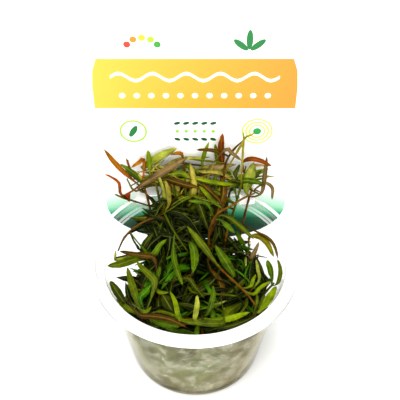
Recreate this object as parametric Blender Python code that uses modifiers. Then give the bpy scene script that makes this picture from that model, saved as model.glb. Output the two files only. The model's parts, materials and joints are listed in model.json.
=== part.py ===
"""A tub of narrow-leaved aquarium plants, as sold from tissue culture.

A clear moulded cup holds a cast of nutrient gel. Shoots root in the gel, fill the cup and spill over
its far rim, where they lean on a flat label card that hangs behind the cup from two hooks cut from it.

Metres, +Z up, the cup's base on Z = 0 and its axis on the Z axis. The card is on the +Y side.
"""

import math
import random

import bmesh
import bpy
from mathutils import Matrix, Vector
from mathutils.bvhtree import BVHTree

MM = 0.001

# The cup
RIM_RADIUS = 50.5 * MM
RIM_TOP = 71.7 * MM
MOUTH_RADIUS = 44.25 * MM
MOUTH_HEIGHT = 66.4 * MM
BASE_RADIUS = 34.0 * MM
BASE_CORNER = 4.2 * MM
SKIRT_HEIGHT = 7.7 * MM
WALL = 0.8 * MM
ROUND_STEPS = 36

# The gel
GEL_TOP = 30.0 * MM
GAP = 0.3 * MM

# The label card
CARD_HALF_WIDTH = 48.9 * MM
CARD_THICKNESS = 0.8 * MM
CARD_STRAIGHT_LOW = 58.0 * MM
CARD_STRAIGHT_HIGH = 132.0 * MM
CARD_BOTTOM = 29.0 * MM
CARD_TOP = 170.0 * MM
CARD_ROUNDNESS = 2.3
CARD_END_POINTS = 16
CARD_FRONT = RIM_RADIUS + GAP

# The hooks cut from the card, each an L whose foot is its outer part
HOOK_INNER_X = 16.5 * MM
HOOK_FOOT_X = 24.0 * MM
HOOK_OUTER_X = 30.7 * MM
HOOK_BAR_FRONT = 40.5 * MM
HOOK_FOOT_FRONT = 36.0 * MM
HOOK_FOOT_DROP = 2.1 * MM
HOOK_UNDER = RIM_TOP + 0.5 * MM
HOOK_WEB = 0.3 * MM
FLOOR_THICKNESS = 1.2 * MM

# The eye that the places of leaves are given from, and the slope it looks down at
EYE = Vector((2.4 * MM, -240.3 * MM, 329.0 * MM))
EYE_SLOPE = math.radians(42.84)
PICTURE_DISTANCE = 364.4 * MM

# The top of the tangle: level in front, rising over the far rim, then upright before the card
TANGLE_TOP = 60.0 * MM
TANGLE_BACK_TOP = 88.0 * MM
TANGLE_RISE_FROM = 10.0 * MM
TANGLE_BACK = 47.0 * MM

# Shoots and leaves
STEM_RADIUS = 0.75 * MM
STEM_TAPER = 0.35
STEM_SIDES = 5
SEEN_STEM_RINGS = 11
UPRIGHT_STEM_RINGS = 8
CROWDING = 1.8
UPRIGHT_LEAN = 0.8
ROOT_REACH = 31.0 * MM
RIM_CROSSING = Vector((0.85, 35.0 * MM, 78.0 * MM))
STALK_RADIUS = 0.38 * MM
BLADE_HALF_THICKNESS = 0.32 * MM
CLEARANCE = 0.22 * MM
STEM_TRIES = 200
STEM_SPREAD = 9.0
FIRST_RISE = 9.0 * MM
LIFT_STEP = 0.7
LIFT_STEPS = 8
FACES_TRIED = 40
STALK_LEAST = 0.5 * MM
STALK_OUTWARD = 0.5
STALK_RULES = ((7.0 * MM, 0.2), (7.0 * MM, -0.6), (25.0 * MM, -0.7))
SEED = 11

# The leaves that fill the tangle in chance directions
CHANCE_LEAVES = 70
CHANCE_TRIES = 30
CHANCE_LENGTH = (11.0 * MM, 19.0 * MM)
CHANCE_WIDTH = (2.2 * MM, 3.8 * MM)
CHANCE_STALK = 1.2 * MM
CHANCE_BEND = 2.5 * MM
CHANCE_DRIFT = 0.6
CHANCE_TURN = 50.0

# Each shoot: the place of its root in the gel (x, y), then its trail as the eye sees it.
# A trail's points are (across, up, lift) in millimetres: a point of a picture held square to the
# eye's line at PICTURE_DISTANCE, taken back to the tangle's top, then lifted towards the eye.
SHOOTS = (
    ((-6, 14), ((-16, -11, -2), (-26, -10, 0), (-33, -14, 1), (-38, -19, 1), (-41, -25.5, 0))),
    ((0, 8), ((-19, -5, -1), (-16.5, -9.5, 2), (-12, -17.5, 3), (-5.5, -26.5, 0))),
    ((8, 10), ((4.5, -17.5, -2), (5.5, -12.5, 2), (8.5, -7, 5), (15.5, -3, 6), (20, 0, 6), (27.5, 3.5, 5))),
    ((-8, 20), ((-12.5, 2.5, -3), (-25, 7, -2), (-33.5, 4.5, -1), (-36.5, 10.5, 0))),
    ((6, 22), ((12, 4, -3), (12, 8, -1), (12, 15.5, 1), (15, 23, 1), (20, 28, 1), (22, 30, 1))),
    ((12, 22), ((16, 7, -5), (25, 5.5, -3), (30.5, 2.5, -1))),
    ((-2, 16), ((-1, -22, -3), (4.5, -28.5, 0), (12, -36, 1), (19, -42.5, 1), (24.5, -48, 0), (28, -53, -1))),
    ((-8, -12), ((-6, -44, -4), (-3, -46.5, 0), (6.5, -47, 1), (19, -48, 0))),
    ((-2, 26), ((-6, 2, -12), (-8, 8, -7), (-14, 12, -5), (-22, 15, -4), (-26, 14, -3))),
)

# The tops of the upright shoots, which stand under clusters of leaves, as (across, up, lift) above.
UPRIGHT_TOPS = (
    (-25, -28, -3), (-22, -41, -3), (-28, -55, -3), (-37, -49, -3), (-12.5, -55.5, -3), (1, -58, -3),
    (11, -59, -3), (28.5, -56, -3), (37, -41.5, -3), (26, -44, -3), (25, -22, -3), (-31, 11, -1),
    (-24, 16, -1), (2, 17, -1), (23, 17, -1), (30, 4, -1), (-8, 18, -1), (14, -12, -3),
)

# The larger leaves: base, middle and tip as (across, up, lift) above, then the width and the turn
# about the leaf's own midrib in degrees, where 0 faces the eye.
LARGE_LEAVES = {
    "left_wide": ((-32, -29.5, 0), (-40, -32, 2), (-46.5, -33, 2), 4.3, 0),
    "left_brown": ((-22.5, -29.5, 1), (-31.5, -27.5, 2), (-40.5, -25.5, 1), 2.9, 0),
    "left_long": ((-22.5, -42, 1), (-27, -36, 3), (-32, -30.5, 3), 3.6, 10),
    "left_broad": ((-29, -56, -2), (-33.5, -44, 2), (-36.5, -33.5, 2), 3.9, -15),
    "left_wall": ((-38, -51, 0), (-42, -45, 1), (-45, -40.5, 1), 4.1, 10),
    "gap_olive": ((-28.5, -25, 0), (-26.5, -20.5, 1), (-23, -16, 1), 3.1, 0),
    "gap_green": ((-25, -27.5, 1), (-20, -22.5, 2), (-16.5, -19.5, 1), 3.4, 10),
    "middle_hanging": ((-13, -20, 2), (-13, -30, 4), (-8.5, -43, 3), 3.0, 0),
    "front_bright": ((-9.5, -60, -1), (-12, -52, 2), (-15, -45.5, 3), 2.4, 0),
    "front_dark": ((-14.5, -54.5, -3), (-16.5, -51, -2), (-19, -47, -2), 6.0, 0),
    "wall_left": ((-27.5, -57, 0), (-35, -55, 0), (-42, -49.5, 0), 3.0, 25),
    "wall_brown": ((-30, -57.5, 1), (-18.5, -58.5, 2), (-6, -64, 1), 2.8, 0),
    "wall_green": ((-22.5, -60.5, -1), (-17, -62, 0), (-10, -63.5, 0), 2.8, 0),
    "centre_olive": ((6, -29, 2), (0, -21, 4), (-6.5, -13, 4), 3.6, 0),
    "centre_wide": ((-4.5, -20.5, 1), (-2.5, -27.5, 3), (-3.5, -36.5, 2), 4.4, 0),
    "right_wide": ((17, -38, 0), (12, -29.5, 1), (7.5, -22.5, 0), 5.0, 10),
    "front_upright": ((4, -56.5, -2), (6.5, -48.5, 2), (6.5, -42.5, 3), 2.7, 0),
    "front_pale": ((-2.5, -60, -2), (-1.5, -53.5, 0), (-1.5, -47.5, 0), 2.6, 0),
    "near_bright": ((11, -60, -1), (19, -58, 0), (25, -56, 0), 3.0, 0),
    "near_long": ((12, -60.5, 1), (2.5, -61.5, 2), (-8.5, -61, 2), 3.1, 0),
    "near_wall": ((27.5, -58, -1), (17.5, -62.5, 0), (6, -64.5, 0), 2.6, 20),
    "right_bright": ((30, -55.5, 0), (34.5, -49.5, 1), (38.2, -43, 1), 4.0, -15),
    "right_arch": ((25, -18, 1), (32, -19.5, 3), (37, -28.5, 3), 2.9, 0),
    "right_mauve": ((25, -29.5, 0), (27.5, -25.5, 2), (29.5, -21, 2), 2.4, 0),
    "right_wall": ((38.6, -42, 0), (40.2, -36, 1), (38.8, -29.5, 1), 2.1, 20),
    "right_green": ((36, -38.5, -2), (35, -34, -1), (33.5, -30, -1), 3.2, -20),
    "back_mauve": ((-31, 6, 1), (-19, 13.5, 3), (-6, 21.5, 3), 3.9, 0),
    "back_olive": ((-28.5, 15.5, 0), (-20.5, 21.5, 1), (-11.5, 26, 1), 4.3, 0),
    "back_tip": ((-25, 15, -1), (-25.5, 20, -1), (-26, 25, -1), 2.9, 0),
    "rim_yellow": ((-15.5, -2, 3), (-16, 5, 5), (-17.5, 10, 3), 2.6, 0),
    "back_fresh": ((-15, 12, 0), (-10, 13.5, 1), (-4.5, 11, 1), 3.3, 0),
    "back_dark": ((-18, 10.5, 2), (-9, 8, 3), (0, 6, 2), 3.6, 10),
    "rim_olive": ((-14.5, 6.5, 0), (-11.5, 2.5, 2), (-8.5, -1.5, 2), 3.1, 0),
    "rim_bright": ((7.5, -1.5, 2), (3.5, 3, 4), (-0.5, 7, 4), 2.4, 0),
    "orange": ((-36.5, 12.5, 0), (-43, 19, 1), (-48, 25.5, 2), 2.8, 0),
    "red_upright": ((11.5, 17, 1), (10.5, 26.5, 1), (11.5, 33.5, 1), 3.5, 0),
    "back_light": ((1, 18.5, 0), (2.5, 24, 1), (4.5, 29, 1), 2.3, 0),
    "red_right": ((21.5, 19, 1), (27.5, 20.5, 2), (36, 17, 3), 2.4, 0),
    "tan_upright": ((30.5, 3, 0), (32.5, 13.5, 1), (33.5, 22, 1), 2.4, 0),
    "back_wide": ((23, 5, 0), (25, 12, 1), (27, 19, 1), 6.0, 0),
    "over_rim": ((10.5, -7.5, 3), (17, -10.5, 4), (27, -19.5, 3), 2.6, 0),
}

# Smaller leaves, given in the same way.
SMALLER_LEAVES = (
    ((-41, -31, 1), (-42, -28, 1), (-42.5, -25, 1), 1.3, 0),
    ((-29.5, -26.5, -1), (-24, -21.5, 0), (-18.5, -17, 0), 2.1, 0),
    ((-30, -49.5, -1), (-27, -46, 0), (-24.5, -42.5, 0), 3.2, 0),
    ((-21.5, -45, 0), (-19, -46.5, 1), (-15.5, -46, 1), 1.8, 0),
    ((-28, -56, -1), (-26, -55, -1), (-24, -53, -1), 2.0, 0),
    ((-45, -42.5, 0), (-46, -38.5, 0), (-46.5, -35, 0), 1.2, 30),
    ((-21, -38, -1), (-20.5, -35.5, -1), (-20, -33, -1), 2.1, 0),
    ((-7.5, -39, 0), (-2.5, -43.5, 1), (2.5, -49.5, 1), 2.4, 0),
    ((7, -59.5, -3), (6.5, -56.5, -2), (6, -54, -2), 2.1, 0),
    ((26, -47.5, 1), (31, -43, 1), (36, -40.5, 1), 1.9, 0),
    ((32.5, -18, 2), (37, -22.5, 2), (39, -29.5, 2), 1.5, 0),
    ((40, -41.5, 0), (41.5, -37.5, 0), (42.5, -33.5, 1), 1.5, 20),
    ((29.5, -40.5, 0), (29, -35, 1), (28, -29.5, 0), 1.7, 0),
    ((25, -43.5, -1), (26.5, -40, 0), (28, -37, 0), 1.9, 0),
    ((-8.5, 22, 1), (-11.5, 23.5, 2), (-15, 22.5, 2), 1.9, 0),
    ((-8, 17, 1), (-3.5, 15.5, 2), (0, 12.5, 2), 2.1, 0),
    ((-9, 4.5, 1), (-6, 2, 2), (-2.5, 0, 1), 2.5, 0),
    ((10, -0.5, 3), (5.5, 4, 5), (0.5, 8.5, 5), 2.1, 0),
    ((4, -2, 1), (0, -1, 2), (-6, -0.5, 2), 2.4, 0),
    ((-27.5, 20, 0), (-31, 18.5, 1), (-34.5, 16, 1), 2.2, 0),
    ((-31.5, 12, 0), (-36, 15.5, 1), (-40, 18, 1), 2.1, 0),
    ((-34.5, 15, 0), (-35.5, 17.5, 0), (-37, 21, 0), 1.1, 0),
    ((-38.5, 1.5, 0), (-41, 9.5, 1), (-48, 13, 2), 1.5, 0),
    ((-38, 1, 0), (-40.5, 2, 0), (-43, 3, 0), 1.0, 0),
    ((22, 30, 1), (25, 32, 1), (28, 34, 1), 1.1, 0),
    ((22, 30, 1), (21.8, 32, 1), (21.5, 34, 1), 1.3, 0),
    ((22, 29.5, 2), (22, 26.5, 2), (20, 23, 2), 1.7, 0),
    ((13, 22.5, 2), (5.5, 25, 2), (-2, 25, 2), 1.7, 0),
    ((12, 25, 3), (16.5, 23, 3), (21, 19.5, 3), 2.1, 0),
    ((9.5, 17, 0), (8.5, 22.5, 0), (7.5, 28, 0), 2.6, 0),
    ((21.5, 5.5, 2), (26, 10.5, 3), (31, 15, 3), 2.3, 0),
    ((32, 8.5, 1), (36, 6.5, 2), (36, 0, 1), 1.6, 0),
    ((17.5, 12.5, 1), (18.5, 15, 1), (20, 18, 1), 2.1, 0),
    ((17, 6.5, 1), (15, 11.5, 1), (13.5, 16, 1), 3.0, 0),
    ((9.5, -9.5, 1), (13.5, -13, 2), (17.5, -16.5, 2), 2.5, 0),
)

COLOURS = {
    "cup": ((0.86, 0.90, 0.90, 1.0), 0.12),
    "gel": ((0.36, 0.38, 0.26, 1.0), 0.25),
    "card": ((0.90, 0.90, 0.88, 1.0), 0.35),
    "shoot": ((0.14, 0.18, 0.03, 1.0), 0.45),
}


def clear_scene():
    """Remove every object that the open file holds."""
    for obj in list(bpy.data.objects):
        bpy.data.objects.remove(obj)


def new_collection(name):
    """A collection linked to the scene."""
    collection = bpy.data.collections.new(name)
    bpy.context.scene.collection.children.link(collection)
    return collection


def make_material(name, kind):
    """A Principled material in the colour and roughness of one kind of piece."""
    colour, roughness = COLOURS[kind]
    material = bpy.data.materials.new(name)
    material.use_nodes = True
    shader = material.node_tree.nodes["Principled BSDF"]
    shader.inputs["Base Color"].default_value = colour
    shader.inputs["Roughness"].default_value = roughness
    shader.inputs["Metallic"].default_value = 0.0
    return material


def add_object(name, mesh, collection, kind):
    """Link a mesh as a named piece with a material of its own."""
    obj = bpy.data.objects.new(name, mesh)
    mesh.materials.append(make_material(name, kind))
    collection.objects.link(obj)
    return obj


# Turned pieces

def arc(centre_r, centre_z, radius, start, end, count):
    """Points (r, z) along a round corner, from one angle in degrees to another."""
    points = []
    for step in range(count + 1):
        angle = math.radians(start + (end - start) * step / count)
        points.append((centre_r + radius * math.cos(angle), centre_z + radius * math.sin(angle)))
    return points


def inner_radius(z):
    """Inside radius of the cup's tapered wall at height z."""
    low_r, low_z = BASE_RADIUS - WALL, BASE_CORNER + WALL
    return low_r + (MOUTH_RADIUS - low_r) * (z - low_z) / (MOUTH_HEIGHT - low_z)


def turned(name, profile, collection, kind):
    """A closed turned solid from a profile of (r, z) that runs inside first, then down outside."""
    bm = bmesh.new()
    verts = [bm.verts.new((r, 0.0, z)) for r, z in profile]
    for one, two in zip(verts, verts[1:]):
        bm.edges.new((one, two))
    mesh = bpy.data.meshes.new(name)
    bm.to_mesh(mesh)
    bm.free()
    obj = add_object(name, mesh, collection, kind)
    screw = obj.modifiers.new("turn", "SCREW")
    screw.axis = "Z"
    screw.steps = ROUND_STEPS
    screw.render_steps = ROUND_STEPS
    screw.use_merge_vertices = True
    screw.merge_threshold = 0.00005
    screw.use_smooth_shade = True
    screw.use_normal_calculate = False
    return obj


def make_cup(collection):
    """The cup: base, tapered wall, ledge, raised collar with a bead, and hanging skirt."""
    floor_top = FLOOR_THICKNESS
    collar_in = RIM_RADIUS - 2.3 * MM
    bead_r = 0.95 * MM
    bead_z = RIM_TOP - bead_r
    ledge_z = MOUTH_HEIGHT + 1.1 * MM
    skirt_z = RIM_TOP - SKIRT_HEIGHT
    corner = BASE_CORNER - WALL

    inside = [(0.0, floor_top)]
    inside += arc(BASE_RADIUS - BASE_CORNER, floor_top + corner, corner, -90, -10, 2)
    inside += [(inner_radius(MOUTH_HEIGHT * 0.5), MOUTH_HEIGHT * 0.5), (MOUTH_RADIUS, MOUTH_HEIGHT)]
    inside += [(collar_in - 1.0 * MM, ledge_z), (collar_in, ledge_z + 1.2 * MM)]
    top = arc(collar_in + bead_r, bead_z, bead_r, 170, 90, 2)
    top += arc(RIM_RADIUS - bead_r, bead_z, bead_r, 90, 0, 2)
    skirt = [(RIM_RADIUS, skirt_z), (RIM_RADIUS - WALL, skirt_z)]
    under = [
        (RIM_RADIUS - WALL, bead_z - 0.2 * MM),
        (collar_in + WALL, bead_z - 0.2 * MM),
        (collar_in + WALL * 0.7, ledge_z + 0.7 * MM),
        (collar_in - 0.8 * MM, ledge_z - WALL),
        (MOUTH_RADIUS + WALL, MOUTH_HEIGHT - WALL),
    ]
    outside = [(inner_radius(MOUTH_HEIGHT * 0.5) + WALL, MOUTH_HEIGHT * 0.5)]
    outside += arc(BASE_RADIUS - BASE_CORNER, BASE_CORNER, BASE_CORNER, -8, -90, 3)
    outside += [(0.0, 0.0)]
    return turned("cup", inside + top + skirt + under + outside, collection, "cup")


def make_gel(collection):
    """The cast of gel, clear of the cup's wall and floor by the gap."""
    low = FLOOR_THICKNESS + GAP
    corner = BASE_CORNER - WALL
    profile = [(0.0, GEL_TOP), (inner_radius(GEL_TOP) - 3.0 * MM, GEL_TOP)]
    profile += [(inner_radius(GEL_TOP) - GAP, GEL_TOP + 0.6 * MM)]
    profile += arc(BASE_RADIUS - BASE_CORNER, low + corner, corner - GAP, -10, -90, 2)
    profile += [(0.0, low + GAP)]
    return turned("agar_gel", profile, collection, "gel")


# The label card

def card_outline():
    """The card's outline: straight sides between two ends that are flattened rounds."""
    points = []
    ends = (
        (CARD_STRAIGHT_HIGH, CARD_TOP - CARD_STRAIGHT_HIGH, 0.0),
        (CARD_STRAIGHT_LOW, CARD_STRAIGHT_LOW - CARD_BOTTOM, math.pi),
    )
    for level, reach, start in ends:
        for step in range(CARD_END_POINTS + 1):
            angle = start + math.pi * step / CARD_END_POINTS
            c, s = math.cos(angle), math.sin(angle)
            across = math.copysign(abs(c) ** (2.0 / CARD_ROUNDNESS), c)
            along = math.copysign(abs(s) ** (2.0 / CARD_ROUNDNESS), s)
            points.append((CARD_HALF_WIDTH * across, level + reach * along))
    return points


def hook_slot(side):
    """Outline of the L-shaped hole that one hook leaves in the card."""
    fold = HOOK_UNDER - HOOK_WEB
    bar = CARD_FRONT - HOOK_BAR_FRONT
    foot = CARD_FRONT - HOOK_FOOT_FRONT + HOOK_FOOT_DROP
    corners = [
        (HOOK_INNER_X, fold), (HOOK_OUTER_X, fold), (HOOK_OUTER_X, fold - foot),
        (HOOK_FOOT_X, fold - foot), (HOOK_FOOT_X, fold - bar), (HOOK_INNER_X, fold - bar),
    ]
    return [(side * x, z) for x, z in corners]


def upright_plate(name, outline, y_from, thickness):
    """A flat solid that stands in the X-Z plane, from its outline."""
    bm = bmesh.new()
    face = bm.faces.new([bm.verts.new((x, y_from, z)) for x, z in outline])
    grown = bmesh.ops.extrude_face_region(bm, geom=[face])
    moved = [item for item in grown["geom"] if isinstance(item, bmesh.types.BMVert)]
    bmesh.ops.translate(bm, verts=moved, vec=(0.0, thickness, 0.0))
    bmesh.ops.recalc_face_normals(bm, faces=bm.faces[:])
    mesh = bpy.data.meshes.new(name)
    bm.to_mesh(mesh)
    bm.free()
    return mesh


def hook_mesh(name, side):
    """One hook: a bar folded forward over the rim, with a foot that turns down inside it."""
    back = CARD_FRONT + CARD_THICKNESS / 2
    foot_back = HOOK_FOOT_FRONT + CARD_THICKNESS
    plan = (
        (HOOK_INNER_X, HOOK_FOOT_X, HOOK_BAR_FRONT, back),
        (HOOK_FOOT_X, HOOK_OUTER_X, HOOK_BAR_FRONT, back),
        (HOOK_FOOT_X, HOOK_OUTER_X, foot_back, HOOK_BAR_FRONT),
        (HOOK_FOOT_X, HOOK_OUTER_X, HOOK_FOOT_FRONT, foot_back),
    )
    bm = bmesh.new()
    for x_from, x_to, y_from, y_to in plan:
        corners = ((x_from, y_from), (x_to, y_from), (x_to, y_to), (x_from, y_to))
        bm.faces.new([bm.verts.new((side * x, y, HOOK_UNDER)) for x, y in corners])
    bmesh.ops.remove_doubles(bm, verts=bm.verts[:], dist=0.05 * MM)
    bmesh.ops.recalc_face_normals(bm, faces=bm.faces[:])
    grown = bmesh.ops.extrude_face_region(bm, geom=bm.faces[:], use_keep_orig=True)
    moved = [item for item in grown["geom"] if isinstance(item, bmesh.types.BMVert)]
    bmesh.ops.translate(bm, verts=moved, vec=(0.0, 0.0, CARD_THICKNESS))
    sole = min(bm.faces, key=lambda face: (round(face.calc_center_median().z, 5),
                                           face.calc_center_median().y))
    grown = bmesh.ops.extrude_discrete_faces(bm, faces=[sole])
    bmesh.ops.translate(bm, verts=grown["faces"][0].verts[:], vec=(0.0, 0.0, -HOOK_FOOT_DROP))
    bmesh.ops.recalc_face_normals(bm, faces=bm.faces[:])
    mesh = bpy.data.meshes.new(name)
    bm.to_mesh(mesh)
    bm.free()
    return mesh


def join_by_boolean(target, mesh, operation, cutters):
    """Cut one solid out of another, or join it on."""
    tool = bpy.data.objects.new(mesh.name, mesh)
    tool.hide_render = True
    tool.display_type = "WIRE"
    cutters.objects.link(tool)
    modifier = target.modifiers.new(mesh.name, "BOOLEAN")
    modifier.operation = operation
    modifier.solver = "EXACT"
    modifier.object = tool


def make_card(collection, cutters):
    """The label card: a plate with two L-shaped holes, and the two hooks folded out of them."""
    plate = upright_plate("label_card", card_outline(), CARD_FRONT, CARD_THICKNESS)
    card = add_object("label_card", plate, collection, "card")
    for side, word in ((-1, "left"), (1, "right")):
        slot = upright_plate("slot_" + word, hook_slot(side), CARD_FRONT - MM, CARD_THICKNESS + 2 * MM)
        join_by_boolean(card, slot, "DIFFERENCE", cutters)
        join_by_boolean(card, hook_mesh("hook_" + word, side), "UNION", cutters)
    return card


# Places as the eye sees them

def tangle_height(y):
    """Height of the tangle's top at a distance y behind the cup's axis."""
    share = (y - TANGLE_RISE_FROM) / (TANGLE_BACK - TANGLE_RISE_FROM)
    return TANGLE_TOP + (TANGLE_BACK_TOP - TANGLE_TOP) * min(max(share, 0.0), 1.0)


def seen(across, up, lift):
    """The place behind a point of the picture, all in millimetres."""
    c, s = math.cos(EYE_SLOPE), math.sin(EYE_SLOPE)
    forward = Vector((0.0, c, -s))
    upward = Vector((0.0, s, c))
    ray = forward * PICTURE_DISTANCE + Vector((across * MM, 0.0, 0.0)) + upward * (up * MM)
    ray.normalize()
    reach = 200 * MM
    while True:
        point = EYE + ray * reach
        if point.z <= tangle_height(point.y) or point.y >= TANGLE_BACK:
            return EYE + ray * (reach - lift * MM)
        reach += 0.25 * MM


def smooth_path(points, count, crowding=1.0):
    """Points along a smooth curve through the given ones, evenly spaced or crowded towards its end."""
    ends = [points[0] * 2 - points[1]] + list(points) + [points[-1] * 2 - points[-2]]
    fine = []
    for i in range(1, len(ends) - 2):
        a, b, c, d = ends[i - 1:i + 3]
        for step in range(12):
            t = step / 12
            fine.append(0.5 * (2 * b + (c - a) * t + (2 * a - 5 * b + 4 * c - d) * t * t
                               + (3 * b - a - 3 * c + d) * t ** 3))
    fine.append(points[-1].copy())
    lengths = [0.0]
    for one, two in zip(fine, fine[1:]):
        lengths.append(lengths[-1] + (two - one).length)
    shares = [1 - (1 - k / (count - 1)) ** crowding for k in range(count)]
    return [point_at(fine, lengths, lengths[-1] * share) for share in shares]


def point_at(fine, lengths, distance):
    """The point at a distance along a fine polyline."""
    for i in range(len(fine) - 1):
        if lengths[i + 1] >= distance:
            span = max(lengths[i + 1] - lengths[i], 1e-9)
            return fine[i].lerp(fine[i + 1], (distance - lengths[i]) / span)
    return fine[-1].copy()


def direction(path, i):
    """The unit tangent of a path at one of its points."""
    return (path[min(i + 1, len(path) - 1)] - path[max(i - 1, 0)]).normalized()


# Clearance between pieces

class Surroundings:
    """The solids placed so far, for testing a new one against."""

    def __init__(self):
        self.trees = {}

    def add(self, name, verts, faces):
        self.trees[name] = BVHTree.FromPolygons(verts, faces)

    def add_object(self, obj):
        depsgraph = bpy.context.evaluated_depsgraph_get()
        self.trees[obj.name] = BVHTree.FromObject(obj, depsgraph)

    def clear_of(self, verts, faces, skip=None):
        tree = BVHTree.FromPolygons(verts, faces)
        return all(not tree.overlap(other) for name, other in self.trees.items() if name != skip)


def folds_over(verts, faces):
    """Whether a loft cuts through itself."""
    tree = BVHTree.FromPolygons(verts, faces)
    return any(not set(faces[one]) & set(faces[two]) for one, two in tree.overlap(tree))


def ring_points(centre, tangent, facing, half_width, half_thickness):
    """Four corners of a blade's section, counter-clockwise about the tangent."""
    across = facing.cross(tangent).normalized()
    out = tangent.cross(across).normalized()
    return [centre + across * half_width, centre + out * half_thickness,
            centre - across * half_width, centre - out * half_thickness]


def stem_sections(path, fat=0.0):
    """Round sections along a stem that thins towards its tip, none turned against the last."""
    across = Vector((1.0, 0.0, 0.0))
    sections = []
    for i, centre in enumerate(path[:-1]):
        tangent = direction(path, i)
        across = (across - tangent * across.dot(tangent)).normalized()
        out = tangent.cross(across)
        radius = STEM_RADIUS * (1.0 - STEM_TAPER * i / len(path)) + fat
        angles = [2 * math.pi * k / STEM_SIDES for k in range(STEM_SIDES)]
        sections.append([centre + (across * math.cos(a) + out * math.sin(a)) * radius for a in angles])
    return sections


def loft_data(rings, start, end):
    """Vertices and faces of a closed loft, for testing alone."""
    verts = [start, end] + [point for ring in rings for point in ring]
    sides = len(rings[0])
    faces = []
    for k in range(sides):
        nxt = (k + 1) % sides
        faces.append((0, 2 + nxt, 2 + k))
        last = 2 + (len(rings) - 1) * sides
        faces.append((1, last + k, last + nxt))
        for i in range(len(rings) - 1):
            base = 2 + i * sides
            faces.append((base + k, base + nxt, base + sides + nxt, base + sides + k))
    return verts, faces


# Leaves

# How far along the blade each section lies and how wide it is there
LARGE_BLADE = ((0.03, 0.30), (0.28, 0.92), (0.58, 0.95), (0.84, 0.52))
SMALLER_BLADE = ((0.10, 0.50), (0.45, 1.00), (0.80, 0.60))
FILL_BLADE = ((0.22, 0.80), (0.66, 0.86))


def leaf_rings(attach, base, middle, tip, width, turn, blade, fat=0.0):
    """Sections of a leaf from its stalk to its tip; fat thickens it for a clearance test."""
    count = 41
    whole = smooth_path([attach, base, middle, tip], count)
    stalk = (base - attach).length
    length = sum((b - a).length for a, b in zip(whole, whole[1:]))
    start = min(stalk / length, 0.6)
    spots = [(start * 0.45, None)] if stalk > 2.0 * MM else []
    spots += [(start + (1 - start) * share, size) for share, size in blade]
    rings = []
    for share, size in spots:
        i = round(share * (count - 1))
        centre, tangent = whole[i], direction(whole, i)
        facing = (EYE - centre).normalized()
        facing = Matrix.Rotation(math.radians(turn), 3, tangent) @ facing
        if size is None:
            half_width, half_thickness = STALK_RADIUS, STALK_RADIUS
        else:
            half_width = max(width / 2 * size, STALK_RADIUS)
            half_thickness = BLADE_HALF_THICKNESS * (0.6 + 0.4 * size)
        rings.append(ring_points(centre, tangent, facing, half_width + fat, half_thickness + fat))
    return rings


def extrude_along(bm, face, rings, end):
    """Extrude one face through the rings, then once more to a point."""
    for ring in rings:
        grown = bmesh.ops.extrude_discrete_faces(bm, faces=[face])
        face = grown["faces"][0]
        for vert, place in zip(face.verts, ring):
            vert.co = place
    grown = bmesh.ops.extrude_discrete_faces(bm, faces=[face])
    bmesh.ops.pointmerge(bm, verts=list(grown["faces"][0].verts), merge_co=end)


def stalk_seat(face):
    """A small quad in the middle of a stem's side face, which a stalk grows from."""
    corners = [vert.co for vert in face.verts]
    centre = face.calc_center_median()
    long_edge = max((corners[1] - corners[0], corners[2] - corners[1]), key=lambda edge: edge.length)
    along = long_edge.normalized()
    seat = []
    for corner in corners:
        reach = (corner - centre).dot(along)
        side = corner - centre - along * reach
        seat.append(centre + along * math.copysign(min(abs(reach), STALK_RADIUS), reach) + side * 0.8)
    return seat


def matched(seat, ring):
    """How far to turn a ring's order so that it twists least from the seat."""
    def twist(shift):
        return sum((seat[k] - ring[(k + shift) % 4]).length for k in range(4))
    return min(range(4), key=twist)


# Shoots

def place_stem(name, root, route, rings, crowding, surroundings, chance):
    """A stem from its root along a route, moved a little until it is clear, as a mesh in the making."""
    for attempt in range(STEM_TRIES):
        spread = STEM_SPREAD * attempt / STEM_TRIES
        x, y = [(value + chance.uniform(-spread, spread)) * MM for value in root]
        foot = Vector((x, y, GEL_TOP + GAP + 0.1 * MM))
        rise = foot + Vector((chance.uniform(-2, 2) * MM, chance.uniform(-2, 2) * MM, FIRST_RISE))
        points = [foot, rise] + route(chance.uniform(-spread, spread) * 0.5)
        path = smooth_path(points, rings, crowding)
        trial = loft_data(stem_sections(path, CLEARANCE), path[0], path[-1])
        if surroundings.clear_of(*trial) and not folds_over(*trial):
            break
    sections = stem_sections(path)
    surroundings.add(name, *loft_data(sections, path[0], path[-1]))
    bm = bmesh.new()
    verts = [bm.verts.new(point) for point in sections[0]]
    face = bm.faces.new(verts)
    extrude_along(bm, face, sections[1:], path[-1])
    bm.faces.new(list(reversed(verts)))
    bm.normal_update()
    sides = [face for face in bm.faces if len(face.verts) == 4]
    return {"name": name, "bm": bm, "path": path, "sides": sides}


def place_seen_stems(surroundings, chance):
    """The stems that the eye sees, each along its trail."""
    stems = []
    for number, (root, trail) in enumerate(SHOOTS, start=1):
        def route(shift):
            return [seen(across, up, lift + shift) for across, up, lift in trail]
        name = "shoot_%02d" % number
        stems.append(place_stem(name, root, route, SEEN_STEM_RINGS, 1.0, surroundings, chance))
    return stems


def place_upright_stems(surroundings, chance):
    """Short stems from the gel up to their tops, over the far rim where the top is beyond it."""
    stems = []
    for number, (across, up, lift) in enumerate(UPRIGHT_TOPS, start=len(SHOOTS) + 1):
        top = seen(across, up, lift)
        share = min(UPRIGHT_LEAN, ROOT_REACH / math.hypot(top.x, top.y))

        def route(shift):
            end = seen(across, up, lift + shift)
            if end.y < RIM_CROSSING.y:
                return [end]
            return [Vector((end.x * RIM_CROSSING.x, RIM_CROSSING.y, RIM_CROSSING.z)), end]
        root = (top.x * share / MM, top.y * share / MM)
        name = "shoot_%02d" % number
        stems.append(place_stem(name, root, route, UPRIGHT_STEM_RINGS, CROWDING, surroundings, chance))
    return stems


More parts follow.
